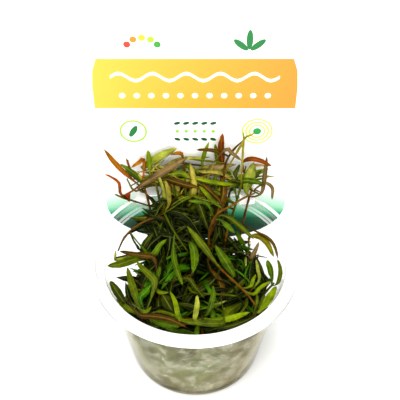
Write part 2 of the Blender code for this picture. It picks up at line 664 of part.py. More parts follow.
def meets_own_shoot(stem, face, rings, attach, tip):
    """Whether a leaf would meet its own shoot anywhere but beside the face it grows from."""
    bm = stem["bm"]
    bm.faces.index_update()
    bm.faces.ensure_lookup_table()
    shoot = BVHTree.FromBMesh(bm)
    beside = {near for vert in face.verts for near in vert.link_faces}
    met = BVHTree.FromPolygons(*loft_data(rings, attach, tip)).overlap(shoot)
    if any(bm.faces[theirs] not in beside for _, theirs in met):
        return True
    throat = (rings[1][0] + rings[1][2]) / 2
    return bool(BVHTree.FromPolygons(*loft_data(rings[1:], throat, tip)).overlap(shoot))


def fuse_leaf(stem, face, points, width, turn, blade, surroundings, label):
    """Grow a leaf out of one face of a stem if its place is clear."""
    attach = face.calc_center_median()
    base, middle, tip = points
    seat = stalk_seat(face)
    rings = leaf_rings(attach, base, middle, tip, width, turn, blade)
    fat = leaf_rings(attach, base, middle, tip, width, turn, blade, CLEARANCE)
    shift = matched(seat, rings[0])
    ordered = [seat] + [[ring[(k + shift) % 4] for k in range(4)] for ring in rings]
    grown = [seat] + [[ring[(k + shift) % 4] for k in range(4)] for ring in fat]
    whole = loft_data(grown, attach, tip)
    if folds_over(*whole) or meets_own_shoot(stem, face, grown, attach, tip):
        return False
    if not surroundings.clear_of(*whole, skip=stem["name"]):
        return False
    stem["sides"].remove(face)
    extrude_along(stem["bm"], face, ordered, tip)
    surroundings.add(label, *loft_data(ordered, attach, tip))
    return True


def lift_shifts():
    """Steps along the eye's line, nearest first, for finding a clear place."""
    yield 0.0
    for step in range(1, LIFT_STEPS + 1):
        yield LIFT_STEP * step
        yield -LIFT_STEP * step


def stem_faces(stems, base, middle, longest, straightness):
    """The free faces of all stems that suit a leaf's base and its heading, nearest first."""
    heading = (middle - base).normalized()
    spots = []
    for stem in stems:
        for face in stem["sides"]:
            stalk = base - face.calc_center_median()
            outward = stalk.dot(face.normal) / stalk.length
            straight = stalk.dot(heading) / stalk.length
            near = STALK_LEAST < stalk.length < longest
            if near and outward > STALK_OUTWARD and straight > straightness:
                spots.append((stalk.length, stem["name"], face.index, stem, face))
    spots.sort(key=lambda spot: spot[:3])
    return [(stem, face) for _, _, _, stem, face in spots[:FACES_TRIED]]


def fuse_seen_leaf(label, leaf, blade, stems, surroundings):
    """Fuse one leaf where the eye sees it, at the nearest stem face that leaves it clear."""
    base, middle, tip, width, turn = leaf
    for longest, straightness in STALK_RULES:
        for shift in lift_shifts():
            places = [seen(across, up, lift + shift) for across, up, lift in (base, middle, tip)]
            for stem, face in stem_faces(stems, places[0], places[1], longest, straightness):
                if fuse_leaf(stem, face, places, width * MM, turn, blade, surroundings, label):
                    return


def in_tangle(point):
    """Whether a place is inside the space that the plants fill."""
    if point.z > tangle_height(point.y) - 1.0 * MM or point.y > TANGLE_BACK:
        return False
    if point.z > MOUTH_HEIGHT - 4 * MM:
        return abs(point.x) < 28 * MM and point.y > 12 * MM
    return point.z > GEL_TOP + 2 * MM


def fuse_chance_leaves(stems, surroundings, chance):
    """Fill the tangle with small leaves in chance directions along the stems."""
    made = 0
    for attempt in range(CHANCE_LEAVES * CHANCE_TRIES):
        if made == CHANCE_LEAVES:
            return
        stem = stems[attempt % len(stems)]
        face = chance.choice(stem["sides"])
        attach = face.calc_center_median()
        along = (stem["path"][-1] - stem["path"][0]).normalized()
        drift = Vector([chance.uniform(-CHANCE_DRIFT, CHANCE_DRIFT) for _ in range(3)])
        bend = Vector([chance.uniform(-CHANCE_BEND, CHANCE_BEND) for _ in range(3)])
        heading = (face.normal + along * 0.5 + drift).normalized()
        length = chance.uniform(*CHANCE_LENGTH)
        base = attach + face.normal * CHANCE_STALK
        middle = attach + heading * length * 0.5 + bend
        tip = attach + heading * length
        if not (in_tangle(middle) and in_tangle(tip)):
            continue
        width = chance.uniform(*CHANCE_WIDTH)
        turn = chance.uniform(-CHANCE_TURN, CHANCE_TURN)
        label = "chance_%03d" % made
        if fuse_leaf(stem, face, (base, middle, tip), width, turn, FILL_BLADE, surroundings, label):
            made += 1


def finish_shoot(stem, collection):
    """Turn a shoot's mesh in the making into its piece."""
    name = stem["name"]
    bmesh.ops.recalc_face_normals(stem["bm"], faces=stem["bm"].faces[:])
    mesh = bpy.data.meshes.new(name)
    stem["bm"].to_mesh(mesh)
    stem["bm"].free()
    mesh.shade_smooth()
    return add_object(name, mesh, collection, "shoot")


def main():
    """Build every piece."""
    clear_scene()
    parts = new_collection("Hygrophila cup")
    cutters = new_collection("Cutters")
    chance = random.Random(SEED)
    surroundings = Surroundings()
    for piece in (make_cup(parts), make_gel(parts), make_card(parts, cutters)):
        surroundings.add_object(piece)
    stems = place_seen_stems(surroundings, chance) + place_upright_stems(surroundings, chance)
    for name, leaf in LARGE_LEAVES.items():
        fuse_seen_leaf(name, leaf, LARGE_BLADE, stems, surroundings)
    for number, leaf in enumerate(SMALLER_LEAVES):
        fuse_seen_leaf("smaller_%02d" % number, leaf, SMALLER_BLADE, stems, surroundings)
    fuse_chance_leaves(stems, surroundings, chance)
    for stem in stems:
        finish_shoot(stem, parts)


main()
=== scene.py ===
import json
import math
import random

import bmesh
import bpy
from mathutils import Matrix, Vector
from mathutils.kdtree import KDTree

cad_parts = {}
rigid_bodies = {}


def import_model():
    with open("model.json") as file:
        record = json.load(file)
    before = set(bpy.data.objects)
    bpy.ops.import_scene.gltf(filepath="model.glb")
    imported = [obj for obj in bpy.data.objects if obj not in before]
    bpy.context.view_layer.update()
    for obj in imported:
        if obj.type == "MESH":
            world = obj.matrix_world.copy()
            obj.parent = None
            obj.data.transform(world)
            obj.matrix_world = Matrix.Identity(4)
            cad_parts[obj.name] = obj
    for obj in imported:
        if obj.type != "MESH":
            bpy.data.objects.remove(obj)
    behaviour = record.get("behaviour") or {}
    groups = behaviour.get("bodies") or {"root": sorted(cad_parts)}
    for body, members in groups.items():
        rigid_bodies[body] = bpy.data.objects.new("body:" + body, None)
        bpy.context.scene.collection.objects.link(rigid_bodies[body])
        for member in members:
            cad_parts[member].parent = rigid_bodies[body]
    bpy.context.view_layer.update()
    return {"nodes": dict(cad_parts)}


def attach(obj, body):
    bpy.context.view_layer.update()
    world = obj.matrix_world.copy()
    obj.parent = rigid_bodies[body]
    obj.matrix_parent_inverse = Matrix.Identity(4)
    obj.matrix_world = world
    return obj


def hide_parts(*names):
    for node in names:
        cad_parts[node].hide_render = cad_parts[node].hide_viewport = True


for obj in list(bpy.data.objects):
    bpy.data.objects.remove(obj)

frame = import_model()

mm = 0.001
random.seed(7)


def srgb(hexColour, alpha=1.0):
    parts = [int(hexColour[i:i + 2], 16) / 255 for i in (1, 3, 5)]
    return [c / 12.92 if c <= 0.04045 else ((c + 0.055) / 1.055) ** 2.4 for c in parts] + [alpha]


def addNode(material, kind, settings=None, links=None):
    # settings: attribute or input name to value; links: input name to (node, output)
    node = material.node_tree.nodes.new(kind)
    for name, value in (settings or {}).items():
        if isinstance(name, str) and hasattr(node, name):
            setattr(node, name, value)
        else:
            node.inputs[name].default_value = value
    for name, (source, output) in (links or {}).items():
        material.node_tree.links.new(source.outputs[output], node.inputs[name])
    return node


def newMaterial(name, settings):
    material = bpy.data.materials.new(name)
    material.use_nodes = True
    shader = material.node_tree.nodes["Principled BSDF"]
    for socket, value in settings.items():
        shader.inputs[socket].default_value = value
    return material, shader


def connect(material, source, output, node, socket):
    material.node_tree.links.new(source.outputs[output], node.inputs[socket])


def finishPiece(name, bm, materials, smooth=True):
    mesh = bpy.data.meshes.new(name)
    bm.to_mesh(mesh)
    bm.free()
    for material in materials:
        mesh.materials.append(material)
    if smooth:
        mesh.shade_smooth()
    piece = bpy.data.objects.new(name, mesh)
    bpy.context.scene.collection.objects.link(piece)
    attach(piece, "root")
    return piece


# The camera of the photograph: its place, its slope and its lens
eye = {
    "place": Vector((2.4, -240.3, 329.0)) * mm,
    "slope": math.radians(42.84),
    "lens": 65.6,
    "pictureDistance": 364.4 * mm,
}


def pictureSpot(point):
    # where a point shows on the picture plane, in millimetres across and up
    forward = Vector((0.0, math.cos(eye["slope"]), -math.sin(eye["slope"])))
    upward = Vector((0.0, math.sin(eye["slope"]), math.cos(eye["slope"])))
    away = point - eye["place"]
    scale = eye["pictureDistance"] / away.dot(forward) / mm
    return away.x * scale, away.dot(upward) * scale


# The cup: thin clear polypropylene, moulded
cup = {
    "rimRadius": 50.5 * mm,
    "rimTop": 71.7 * mm,
    "mouthRadius": 44.25 * mm,
    "mouthHeight": 66.4 * mm,
    "baseRadius": 34.0 * mm,
    "baseCorner": 2.2 * mm,
    "skirt": 7.7 * mm,
    "wall": 0.8 * mm,
    "floor": 1.2 * mm,
    "bead": 0.95 * mm,
    "steps": 128,
}


def arc(centreR, centreZ, radius, start, end, count):
    angles = [math.radians(start + (end - start) * k / count) for k in range(count + 1)]
    return [(centreR + radius * math.cos(a), centreZ + radius * math.sin(a)) for a in angles]


def innerRadius(z):
    lowR, lowZ = cup["baseRadius"] - cup["wall"], cup["baseCorner"] + cup["wall"]
    return lowR + (cup["mouthRadius"] - lowR) * (z - lowZ) / (cup["mouthHeight"] - lowZ)


def spunSolid(profile, steps):
    # a closed solid of revolution from (r, z) points whose ends lie on the axis
    bm = bmesh.new()
    verts = [bm.verts.new((r, 0.0, z)) for r, z in profile]
    edges = [bm.edges.new(pair) for pair in zip(verts, verts[1:])]
    bmesh.ops.spin(bm, geom=verts + edges, cent=(0, 0, 0), axis=(0, 0, 1),
                   angle=2 * math.pi, steps=steps, use_merge=True)
    bmesh.ops.remove_doubles(bm, verts=bm.verts[:], dist=0.00001)
    bmesh.ops.recalc_face_normals(bm, faces=bm.faces[:])
    return bm


def cupProfile():
    wall, rim, top = cup["wall"], cup["rimRadius"], cup["rimTop"]
    collar = rim - 2.3 * mm
    bead = cup["bead"]
    beadZ = top - bead
    ledge = cup["mouthHeight"] + 1.1 * mm
    corner = cup["baseCorner"] - wall
    bend = cup["baseRadius"] - cup["baseCorner"]
    half = cup["mouthHeight"] * 0.5
    inside = [(0.0, cup["floor"]), (bend * 0.6, cup["floor"])]
    inside += arc(bend, cup["floor"] + corner, corner, -90, -10, 6)
    inside += [(innerRadius(half), half), (innerRadius(half * 1.7), half * 1.7)]
    inside += [(cup["mouthRadius"] - 0.05 * mm, cup["mouthHeight"] - 0.9 * mm)]
    inside += [(cup["mouthRadius"] + 0.35 * mm, cup["mouthHeight"])]
    inside += [(cup["mouthRadius"] + 1.1 * mm, ledge - 0.75 * mm), (collar - 1.2 * mm, ledge)]
    inside += [(collar - 0.5 * mm, ledge + 0.35 * mm), (collar, ledge + 1.2 * mm)]
    over = arc(collar + bead, beadZ, bead, 170, 90, 5) + arc(rim - bead, beadZ, bead, 90, 0, 5)
    skirt = [(rim, top - cup["skirt"] + 0.3 * mm), (rim - 0.25 * mm, top - cup["skirt"])]
    skirt += [(rim - wall + 0.1 * mm, top - cup["skirt"]), (rim - wall, top - cup["skirt"] + 0.3 * mm)]
    under = [(rim - wall, beadZ - 0.2 * mm), (collar + wall, beadZ - 0.2 * mm)]
    under += [(collar + wall * 0.7, ledge + 0.7 * mm), (collar - 0.8 * mm, ledge - wall)]
    under += [(cup["mouthRadius"] + wall, cup["mouthHeight"] - wall)]
    outside = [(innerRadius(half * 1.7) + wall, half * 1.7), (innerRadius(half) + wall, half)]
    outside += arc(bend, cup["baseCorner"], cup["baseCorner"], -8, -90, 8)
    outside += [(bend * 0.6, 0.0), (0.0, 0.0)]
    return inside + over + skirt + under + outside


def clearPlastic():
    # moulded polypropylene: thin, clear and glossy, with a rim painted white, milky plastic and painted highlight
    # together, and mist with painted highlights on the wall towards the viewer
    material, shader = newMaterial("moulded clear polypropylene", {
        "Base Color": srgb("#fbfdfb"),
        "Roughness": 0.12,
        "IOR": 1.49,
    })
    place = addNode(material, "ShaderNodeTexCoord")
    split = addNode(material, "ShaderNodeSeparateXYZ", links={"Vector": (place, "Object")})
    # mist shows on the near wall, and so do the painted highlights below
    near = addNode(material, "ShaderNodeMapRange", {
        "interpolation_type": "SMOOTHSTEP",
        "From Min": 20 * mm, "From Max": -20 * mm,
    }, {"Value": (split, "Y")})
    inRim = addNode(material, "ShaderNodeMapRange", {
        "interpolation_type": "SMOOTHSTEP",
        "From Min": 62.8 * mm, "From Max": 64.4 * mm,
    }, {"Value": (split, "Z")})
    # drops run together, patches about 5 mm wide
    drops = addNode(material, "ShaderNodeTexNoise", {
        "Scale": 1 / (9 * mm), "Detail": 5.0, "Roughness": 0.6,
    }, {"Vector": (place, "Object")})
    mist = addNode(material, "ShaderNodeMapRange", {
        "From Min": 0.38, "From Max": 0.7, "To Min": 0.1, "To Max": 0.2,
    }, {"Value": (drops, "Fac")})
    # painted highlights: pale streaks that lie round the wall, about 4 mm apart
    stretch = addNode(material, "ShaderNodeMapping", {"Scale": (0.35, 0.35, 2.0)}, {"Vector": (place, "Object")})
    streakNoise = addNode(material, "ShaderNodeTexNoise", {
        "Scale": 1 / (6 * mm), "Detail": 6.0, "Roughness": 0.7, "Distortion": 2.0,
    }, {"Vector": (stretch, "Vector")})
    streakHighlight = addNode(material, "ShaderNodeMapRange", {
        "interpolation_type": "SMOOTHSTEP",
        "From Min": 0.64, "From Max": 0.7, "To Min": 0.0, "To Max": 0.16,
    }, {"Value": (streakNoise, "Fac")})
    # painted glints: fine bright lines that wave round the wall, 2 to 6 mm apart, of which only parts show
    folds = addNode(material, "ShaderNodeMath", {"operation": "MULTIPLY", 1: 6.0}, {0: (streakNoise, "Fac")})
    fold = addNode(material, "ShaderNodeMath", {"operation": "PINGPONG", 1: 0.5}, {0: (folds, "Value")})
    line = addNode(material, "ShaderNodeMapRange", {
        "From Min": 0.05, "From Max": 0.02, "To Min": 0.0, "To Max": 0.75,
    }, {"Value": (fold, "Value")})
    partly = addNode(material, "ShaderNodeMapRange", {"From Min": 0.44, "From Max": 0.52}, {"Value": (drops, "Fac")})
    lineGlint = addNode(material, "ShaderNodeMath", {"operation": "MULTIPLY"}, {
        0: (line, "Result"), 1: (partly, "Result"),
    })
    # painted glints where single drops hang, about 1 mm wide and 6 mm apart, on a fifth of the places
    warped = addNode(material, "ShaderNodeVectorMath", {"operation": "MULTIPLY_ADD", 1: (0.01, 0.01, 0.01)}, {
        0: (streakNoise, "Color"), 2: (place, "Object"),
    })
    beads = addNode(material, "ShaderNodeTexVoronoi", {"Scale": 1 / (6 * mm)}, {"Vector": (warped, "Vector")})
    glint = addNode(material, "ShaderNodeMapRange", {
        "From Min": 0.13, "From Max": 0.07, "To Min": 0.0, "To Max": 0.75,
    }, {"Value": (beads, "Distance")})
    chosen = addNode(material, "ShaderNodeMath", {"operation": "GREATER_THAN", 1: 0.6}, {0: (beads, "Color")})
    dropGlint = addNode(material, "ShaderNodeMath", {"operation": "MULTIPLY"}, {
        0: (glint, "Result"), 1: (chosen, "Value"),
    })
    fine = addNode(material, "ShaderNodeMath", {"operation": "MAXIMUM"}, {
        0: (lineGlint, "Value"), 1: (dropGlint, "Value"),
    })
    # all the painted highlights on the wall: streaks, lines and glints
    paintedHighlights = addNode(material, "ShaderNodeMath", {"operation": "MAXIMUM"}, {
        0: (streakHighlight, "Result"), 1: (fine, "Value"),
    })
    mistAndHighlights = addNode(material, "ShaderNodeMath", {"operation": "ADD"}, {
        0: (mist, "Result"), 1: (paintedHighlights, "Value"),
    })
    wall = addNode(material, "ShaderNodeMix", {2: 0.0}, {0: (near, "Result"), 3: (mistAndHighlights, "Value")})
    # the bead on top of the rim catches the light all the way round
    bead = addNode(material, "ShaderNodeMapRange", {
        "interpolation_type": "SMOOTHSTEP",
        "From Min": 71.0 * mm, "From Max": 71.5 * mm, "To Min": 0.0, "To Max": 0.7,
    }, {"Value": (split, "Z")})
    # the near half of the rim is painted almost solid white, milky plastic and a painted highlight together; the far
    # half shows only the bead
    rim = addNode(material, "ShaderNodeMix", {3: 0.93}, {0: (near, "Result"), 2: (bead, "Result")})
    body = addNode(material, "ShaderNodeMix", {}, {0: (inRim, "Result"), 2: (wall, 0), 3: (rim, 0)})
    # a thin painted highlight line where the wall turns out into the rim
    turn = addNode(material, "ShaderNodeMath", {"operation": "COMPARE", 1: 66.5 * mm, 2: 0.3 * mm},
                   {0: (split, "Z")})
    lined = addNode(material, "ShaderNodeMath", {"operation": "MULTIPLY_ADD", 1: 0.35}, {
        0: (turn, "Value"), 2: (body, 0),
    })
    # the rim and the misty wall look denser where they are seen edge on
    edge = addNode(material, "ShaderNodeLayerWeight", {"Blend": 0.12})
    rimEdge = addNode(material, "ShaderNodeMath", {"operation": "MULTIPLY"}, {
        0: (edge, "Facing"), 1: (inRim, "Result"),
    })
    edgedRim = addNode(material, "ShaderNodeMath", {"operation": "MULTIPLY_ADD", 1: 0.2}, {
        0: (rimEdge, "Value"), 2: (lined, "Value"),
    })
    # near its outline the near wall bends the light, so the gel seems to fill it
    side = addNode(material, "ShaderNodeLayerWeight", {"Blend": 0.5})
    outer = addNode(material, "ShaderNodeMapRange", {
        "interpolation_type": "SMOOTHSTEP",
        "From Min": 0.74, "From Max": 0.96,
    }, {"Value": (side, "Facing")})
    bare = addNode(material, "ShaderNodeMath", {"operation": "SUBTRACT", "use_clamp": True}, {
        0: (near, "Result"), 1: (inRim, "Result"),
    })
    filled = addNode(material, "ShaderNodeMath", {"operation": "MULTIPLY"}, {
        0: (outer, "Result"), 1: (bare, "Value"),
    })
    edged = addNode(material, "ShaderNodeMath", {"operation": "MULTIPLY_ADD", 1: 0.9}, {
        0: (filled, "Value"), 2: (edgedRim, "Value"),
    })
    # the thick base takes the colour of the gel on it
    low = addNode(material, "ShaderNodeMapRange", {
        "interpolation_type": "SMOOTHSTEP",
        "From Min": 4.0 * mm, "From Max": 1.6 * mm,
    }, {"Value": (split, "Z")})
    based = addNode(material, "ShaderNodeMath", {"operation": "MULTIPLY_ADD", 1: 0.75, "use_clamp": True}, {
        0: (low, "Result"), 2: (edged, "Value"),
    })
    connect(material, based, "Value", shader, "Alpha")
    # the painted highlights are near white over the wall's tint
    highlightTint = addNode(material, "ShaderNodeMix", {
        "data_type": "RGBA", 6: srgb("#cdc7a0"), 7: srgb("#fbfdfb"),
    }, {0: (paintedHighlights, "Value")})
    wallTint = addNode(material, "ShaderNodeMix", {"data_type": "RGBA", 7: srgb("#fbfdfb")}, {
        0: (inRim, "Result"), 6: (highlightTint, 2),
    })
    overGel = addNode(material, "ShaderNodeMapRange", {"From Min": 24 * mm, "From Max": 36 * mm},
                      {"Value": (split, "Z")})
    seenGel = addNode(material, "ShaderNodeMix", {
        "data_type": "RGBA", 6: srgb("#5c5636"), 7: srgb("#8e886c"),
    }, {0: (overGel, "Result")})
    gelEdge = addNode(material, "ShaderNodeMix", {"data_type": "RGBA"}, {
        0: (filled, "Value"), 6: (wallTint, 2), 7: (seenGel, 2),
    })
    tinted = addNode(material, "ShaderNodeMix", {"data_type": "RGBA", 7: srgb("#6c6640")}, {
        0: (low, "Result"), 6: (gelEdge, 2),
    })
    # a fine grey line of painted shade where the rim turns away from view
    rimShadeLine = addNode(material, "ShaderNodeMath", {"operation": "MULTIPLY"}, {
        0: (outer, "Result"), 1: (inRim, "Result"),
    })
    rimShaded = addNode(material, "ShaderNodeMix", {"data_type": "RGBA", 7: srgb("#a8aea4")}, {
        0: (rimShadeLine, "Value"), 6: (tinted, 2),
    })
    connect(material, rimShaded, 2, shader, "Base Color")
    bump = addNode(material, "ShaderNodeBump", {"Strength": 0.05, "Distance": 0.3 * mm}, {
        "Height": (streakNoise, "Fac"),
    })
    connect(material, bump, "Normal", shader, "Normal")
    return material


cupPiece = finishPiece("clearCup", spunSolid(cupProfile(), cup["steps"]), [clearPlastic()])
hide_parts("cup")
print("cup made")


# The gel: cloudy nutrient agar, cast in the cup
gel = {
    "top": 30.0 * mm,
    "gap": 0.3 * mm,
    "steps": 96,
}


def cloudyGel():
    # agar gel: wet and soft, so it scatters light inside and shines a little on top
    material, shader = newMaterial("cast agar gel", {
        "Base Color": srgb("#8c8f70"),
        "Roughness": 0.25,
        "IOR": 1.34,
        "Transmission Weight": 0.12,
        "Subsurface Weight": 0.15,
        "Subsurface Radius": (2 * mm, 2 * mm, 1.5 * mm),
    })
    place = addNode(material, "ShaderNodeTexCoord")
    split = addNode(material, "ShaderNodeSeparateXYZ", links={"Vector": (place, "Object")})
    height = addNode(material, "ShaderNodeMapRange", {"From Min": 3 * mm, "From Max": 24 * mm},
                     {"Value": (split, "Z")})
    upward = addNode(material, "ShaderNodeMix", {"data_type": "RGBA", 6: srgb("#655a24"), 7: srgb("#666e32")},
                     {0: (height, "Result")})
    right = addNode(material, "ShaderNodeMapRange", {
        "From Min": 4 * mm, "From Max": 32 * mm, "To Max": 0.7,
    }, {"Value": (split, "X")})
    warmer = addNode(material, "ShaderNodeMix", {"data_type": "RGBA", 7: srgb("#8c7258")},
                     {0: (right, "Result"), 6: (upward, 2)})
    # clouds about 6 mm wide, where shoots and old leaves lie in the gel
    clouds = addNode(material, "ShaderNodeTexNoise", {
        "Scale": 1 / (12 * mm), "Detail": 6.0, "Roughness": 0.6, "Distortion": 0.8,
    }, {"Vector": (place, "Object")})
    shade = addNode(material, "ShaderNodeMapRange", {
        "From Min": 0.34, "From Max": 0.66, "To Min": 0.5, "To Max": 1.2,
    }, {"Value": (clouds, "Fac")})
    tinted = addNode(material, "ShaderNodeHueSaturation", links={
        "Value": (shade, "Result"), "Color": (warmer, 2),
    })
    # green patches about 5 mm wide, where leaves are pressed against the wall
    patches = addNode(material, "ShaderNodeTexNoise", {"Scale": 1 / (10 * mm), "Detail": 2.0, "Distortion": 1.2},
                      {"Vector": (place, "Object")})
    green = addNode(material, "ShaderNodeMapRange", {
        "interpolation_type": "SMOOTHSTEP",
        "From Min": 0.56, "From Max": 0.64, "To Max": 0.7,
    }, {"Value": (patches, "Fac")})
    grown = addNode(material, "ShaderNodeMix", {"data_type": "RGBA", 7: srgb("#556b30")}, {
        0: (green, "Result"), 6: (tinted, "Color"),
    })
    connect(material, grown, 2, shader, "Base Color")
    return material


def gelProfile():
    low = cup["floor"] + gel["gap"]
    corner = cup["baseCorner"] - cup["wall"]
    edge = innerRadius(gel["top"])
    profile = [(0.0, gel["top"]), (edge - 6.0 * mm, gel["top"]), (edge - 2.0 * mm, gel["top"] + 0.1 * mm)]
    profile += [(edge - gel["gap"], gel["top"] + 0.6 * mm)]
    profile += arc(cup["baseRadius"] - cup["baseCorner"], low + corner, corner - gel["gap"], -10, -90, 5)
    profile += [(0.0, low + gel["gap"])]
    return profile


gelPiece = finishPiece("agarGel", spunSolid(gelProfile(), gel["steps"]), [cloudyGel()])
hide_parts("agar_gel")
print("gel made")


# The label card: printed polypropylene sheet, 0.8 mm
card = {
    "bandLow": 120.0 * mm,
    "bandHigh": 148.0 * mm,
    "fadeTop": 67.0 * mm,
    "fadeLow": 40.0 * mm,
    "halfWidth": 48.9 * mm,
}


def printedCard():
    # satin print on white sheet: a warm band, and a teal lower end that fades up into white; low in the cup the teal
    # darkens to near black, print and painted shade together
    material, shader = newMaterial("printed white polypropylene sheet", {
        "Base Color": srgb("#fbfbf8"),
        "Roughness": 0.38,
        "IOR": 1.45,
    })
    place = addNode(material, "ShaderNodeTexCoord")
    split = addNode(material, "ShaderNodeSeparateXYZ", links={"Vector": (place, "Object")})
    warm = addNode(material, "ShaderNodeMapRange", {
        "From Min": -card["halfWidth"], "From Max": card["halfWidth"],
    }, {"Value": (split, "X")})
    warmTint = addNode(material, "ShaderNodeMix", {
        "data_type": "RGBA", 6: srgb("#e8ba48"), 7: srgb("#e09034"),
    }, {0: (warm, "Result")})
    low = addNode(material, "ShaderNodeMath", {"operation": "GREATER_THAN", 1: card["bandLow"]},
                  {0: (split, "Z")})
    high = addNode(material, "ShaderNodeMath", {"operation": "LESS_THAN", 1: card["bandHigh"]},
                   {0: (split, "Z")})
    band = addNode(material, "ShaderNodeMath", {"operation": "MULTIPLY"},
                   {0: (low, "Value"), 1: (high, "Value")})
    fade = addNode(material, "ShaderNodeValToRGB", links={
        "Fac": (addNode(material, "ShaderNodeMapRange", {
            "From Min": card["fadeLow"], "From Max": card["fadeTop"],
        }, {"Value": (split, "Z")}), "Result"),
    })
    ramp = fade.color_ramp
    # the darkest teal, low in the cup, is painted shade over the print
    ramp.elements[0].color = srgb("#004028")
    ramp.elements[1].color = srgb("#fbfbf8")
    for spot, tint in ((0.2, "#00603c"), (0.36, "#44b082"), (0.5, "#9cdab6"), (0.72, "#d2f0dc")):
        ramp.elements.new(spot).color = srgb(tint)
    whole = addNode(material, "ShaderNodeMix", {"data_type": "RGBA"}, {
        0: (band, "Value"), 6: (fade, "Color"), 7: (warmTint, 2),
    })
    connect(material, whole, 2, shader, "Base Color")
    return material


frame["nodes"]["label_card"].data.materials.clear()
frame["nodes"]["label_card"].data.materials.append(printedCard())
print("card dressed")


# The plants: every shoot's own stem and leaves are read from its solid, then modelled finely
leafTints = {
    # name: colour at the base, colour at the tip
    "olive": ("#55620f", "#6d7a16"),
    "darkOlive": ("#343b0c", "#4a5310"),
    "green": ("#435c0a", "#65801a"),
    "vivid": ("#3a6412", "#548a22"),
    "bright": ("#697c16", "#93a432"),
    "pale": ("#808a34", "#b2b65e"),
    "yellow": ("#887c34", "#aea452"),
    "straw": ("#9a8e40", "#c6ba66"),
    "tan": ("#907a52", "#b89f74"),
    "brown": ("#4a3014", "#6a4a1c"),
    "redBrown": ("#6e2c18", "#a0562c"),
    "orange": ("#96461e", "#c08036"),
    "mauve": ("#6c5236", "#8c7455"),
    "arched": ("#7a4a18", "#a3a32c"),
    # near-black: painted shade for leaves deep in the tangle and under the far rim
    "dark": ("#161f03", "#252f06"),
}
# which leaves have which tint, by where their tips show from the front, in mm on the picture plane
tintedTips = {
    "olive": ((-46.5, -33), (-32, -30.5), (-36.5, -33.5), (-42, -49.5), (-6.5, -13), (-8.5, -61),
              (38.8, -29.5), (-8.5, -1.5), (27, -19.5), (-2.5, 0), (7.5, 28)),
    "darkOlive": ((-45, -40.5), (-23, -16), (-19, -47), (6, -64.5), (2.5, -49.5), (31, 15), (20, 18)),
    "green": ((-16.5, -19.5), (-8.5, -43), (-10, -63.5), (-3.5, -36.5), (7.5, -22.5), (6.5, -42.5),
              (33.5, -30), (-20, -33), (6, -54), (0, 12.5), (-6, -0.5), (-40, 18), (13.5, 16),
              (17.5, -16.5)),
    "vivid": ((-24.5, -42.5),),
    "bright": ((-15, -45.5), (25, -56), (38.2, -43), (-26, 25), (-4.5, 11), (-0.5, 7), (4.5, 29),
               (-15.5, -46), (-24, -53), (36, -40.5), (28, -37)),
    "pale": ((-1.5, -47.5), (-11.5, 26), (27, 19), (-42.5, -25), (28, -29.5)),
    "yellow": ((-17.5, 10), (28, 34), (21.5, 34)),
    "brown": ((-40.5, -25.5), (-6, -64), (0, 6), (-46.5, -35), (39, -29.5), (0.5, 8.5), (-43, 3),
              (-2, 25)),
    "redBrown": ((11.5, 33.5), (36, 17), (-37, 21), (-48, 13), (20, 23)),
    "orange": ((-48, 25.5), (-15, 22.5), (-34.5, 16)),
    "mauve": ((29.5, -21), (-6, 21.5), (33.5, 22), (42.5, -33.5), (21, 19.5), (36, 0)),
    "arched": ((37, -28.5),),
    "dark": ((-18.5, -17),),
}


def mergedCopy(node):
    bm = bmesh.new()
    bm.from_mesh(frame["nodes"][node].data)
    bmesh.ops.remove_doubles(bm, verts=bm.verts[:], dist=0.000002)
    return bm


def layersFrom(tip):
    # the rings of four corners that follow a leaf's tip, down to the stem
    seen = {tip}
    layer = [tip]
    rings = []
    while True:
        following = []
        for vert in layer:
            for edge in vert.link_edges:
                other = edge.other_vert(vert)
                if other not in seen:
                    seen.add(other)
                    following.append(other)
        if len(following) != 4:
            return rings
        rings.append(following)
        layer = following


def ringShape(ring):
    # middle, half of the longer diagonal and half of the shorter one
    first = ring[0]
    joined = {edge.other_vert(first) for edge in first.link_edges}
    opposite = [vert for vert in ring[1:] if vert not in joined] or [ring[2]]
    others = [vert for vert in ring if vert not in (first, opposite[0])]
    middle = sum((vert.co for vert in ring), Vector()) / 4
    one = (opposite[0].co - first.co) / 2
    two = (others[1].co - others[0].co) / 2
    return (middle, one, two) if one.length >= two.length else (middle, two, one)


def readShoot(node):
    # the leaves as spines with widths, and the stem as a line of round sections
    bm = mergedCopy(node)
    leaves = []
    leafVerts = set()
    for vert in bm.verts:
        if len(vert.link_edges) != 4:
            continue
        rings = layersFrom(vert)
        if len(rings) < 4:
            continue
        blade = [ringShape(ring) for ring in rings[:-1]]
        blade.reverse()
        leaves.append({
            "spine": [part[0] for part in blade] + [vert.co.copy()],
            "width": 2 * max(part[1].length for part in blade[1:]),
            "across": max(blade[1:], key=lambda part: part[1].length)[1].normalized(),
            "stalk": (blade[1][0] - blade[0][0]).length,
        })
        leafVerts.update(rings_vert for ring in rings[:-1] for rings_vert in ring)
        leafVerts.add(vert)
    stemVerts = [vert for vert in bm.verts if vert not in leafVerts]
    tops = [vert for vert in stemVerts
            if len([e for e in vert.link_edges if e.other_vert(vert) not in leafVerts]) == 5]
    top = max(tops, key=lambda vert: vert.co.z + vert.co.y)
    best = []
    for start in tops:
        sections = stemRings(start, leafVerts)
        if len(sections) > len(best):
            best = sections
            top = start
    line = [sum((vert.co for vert in ring), Vector()) / 5 for ring in best]
    radii = [(ring[0].co - middle).length for ring, middle in zip(best, line)]
    line = [top.co.copy()] + line
    line.reverse()
    radii.reverse()
    bm.free()
    return {"leaves": leaves, "line": line, "radii": radii + [radii[-1] * 0.6]}


def stemRings(top, leafVerts):
    seen = {top}
    layer = [top]
    rings = []
    while True:
        following = []
        for vert in layer:
            for edge in vert.link_edges:
                other = edge.other_vert(vert)
                if other not in seen and other not in leafVerts:
                    seen.add(other)
                    following.append(other)
        if len(following) != 5:
            return rings
        rings.append(following)
        layer = following


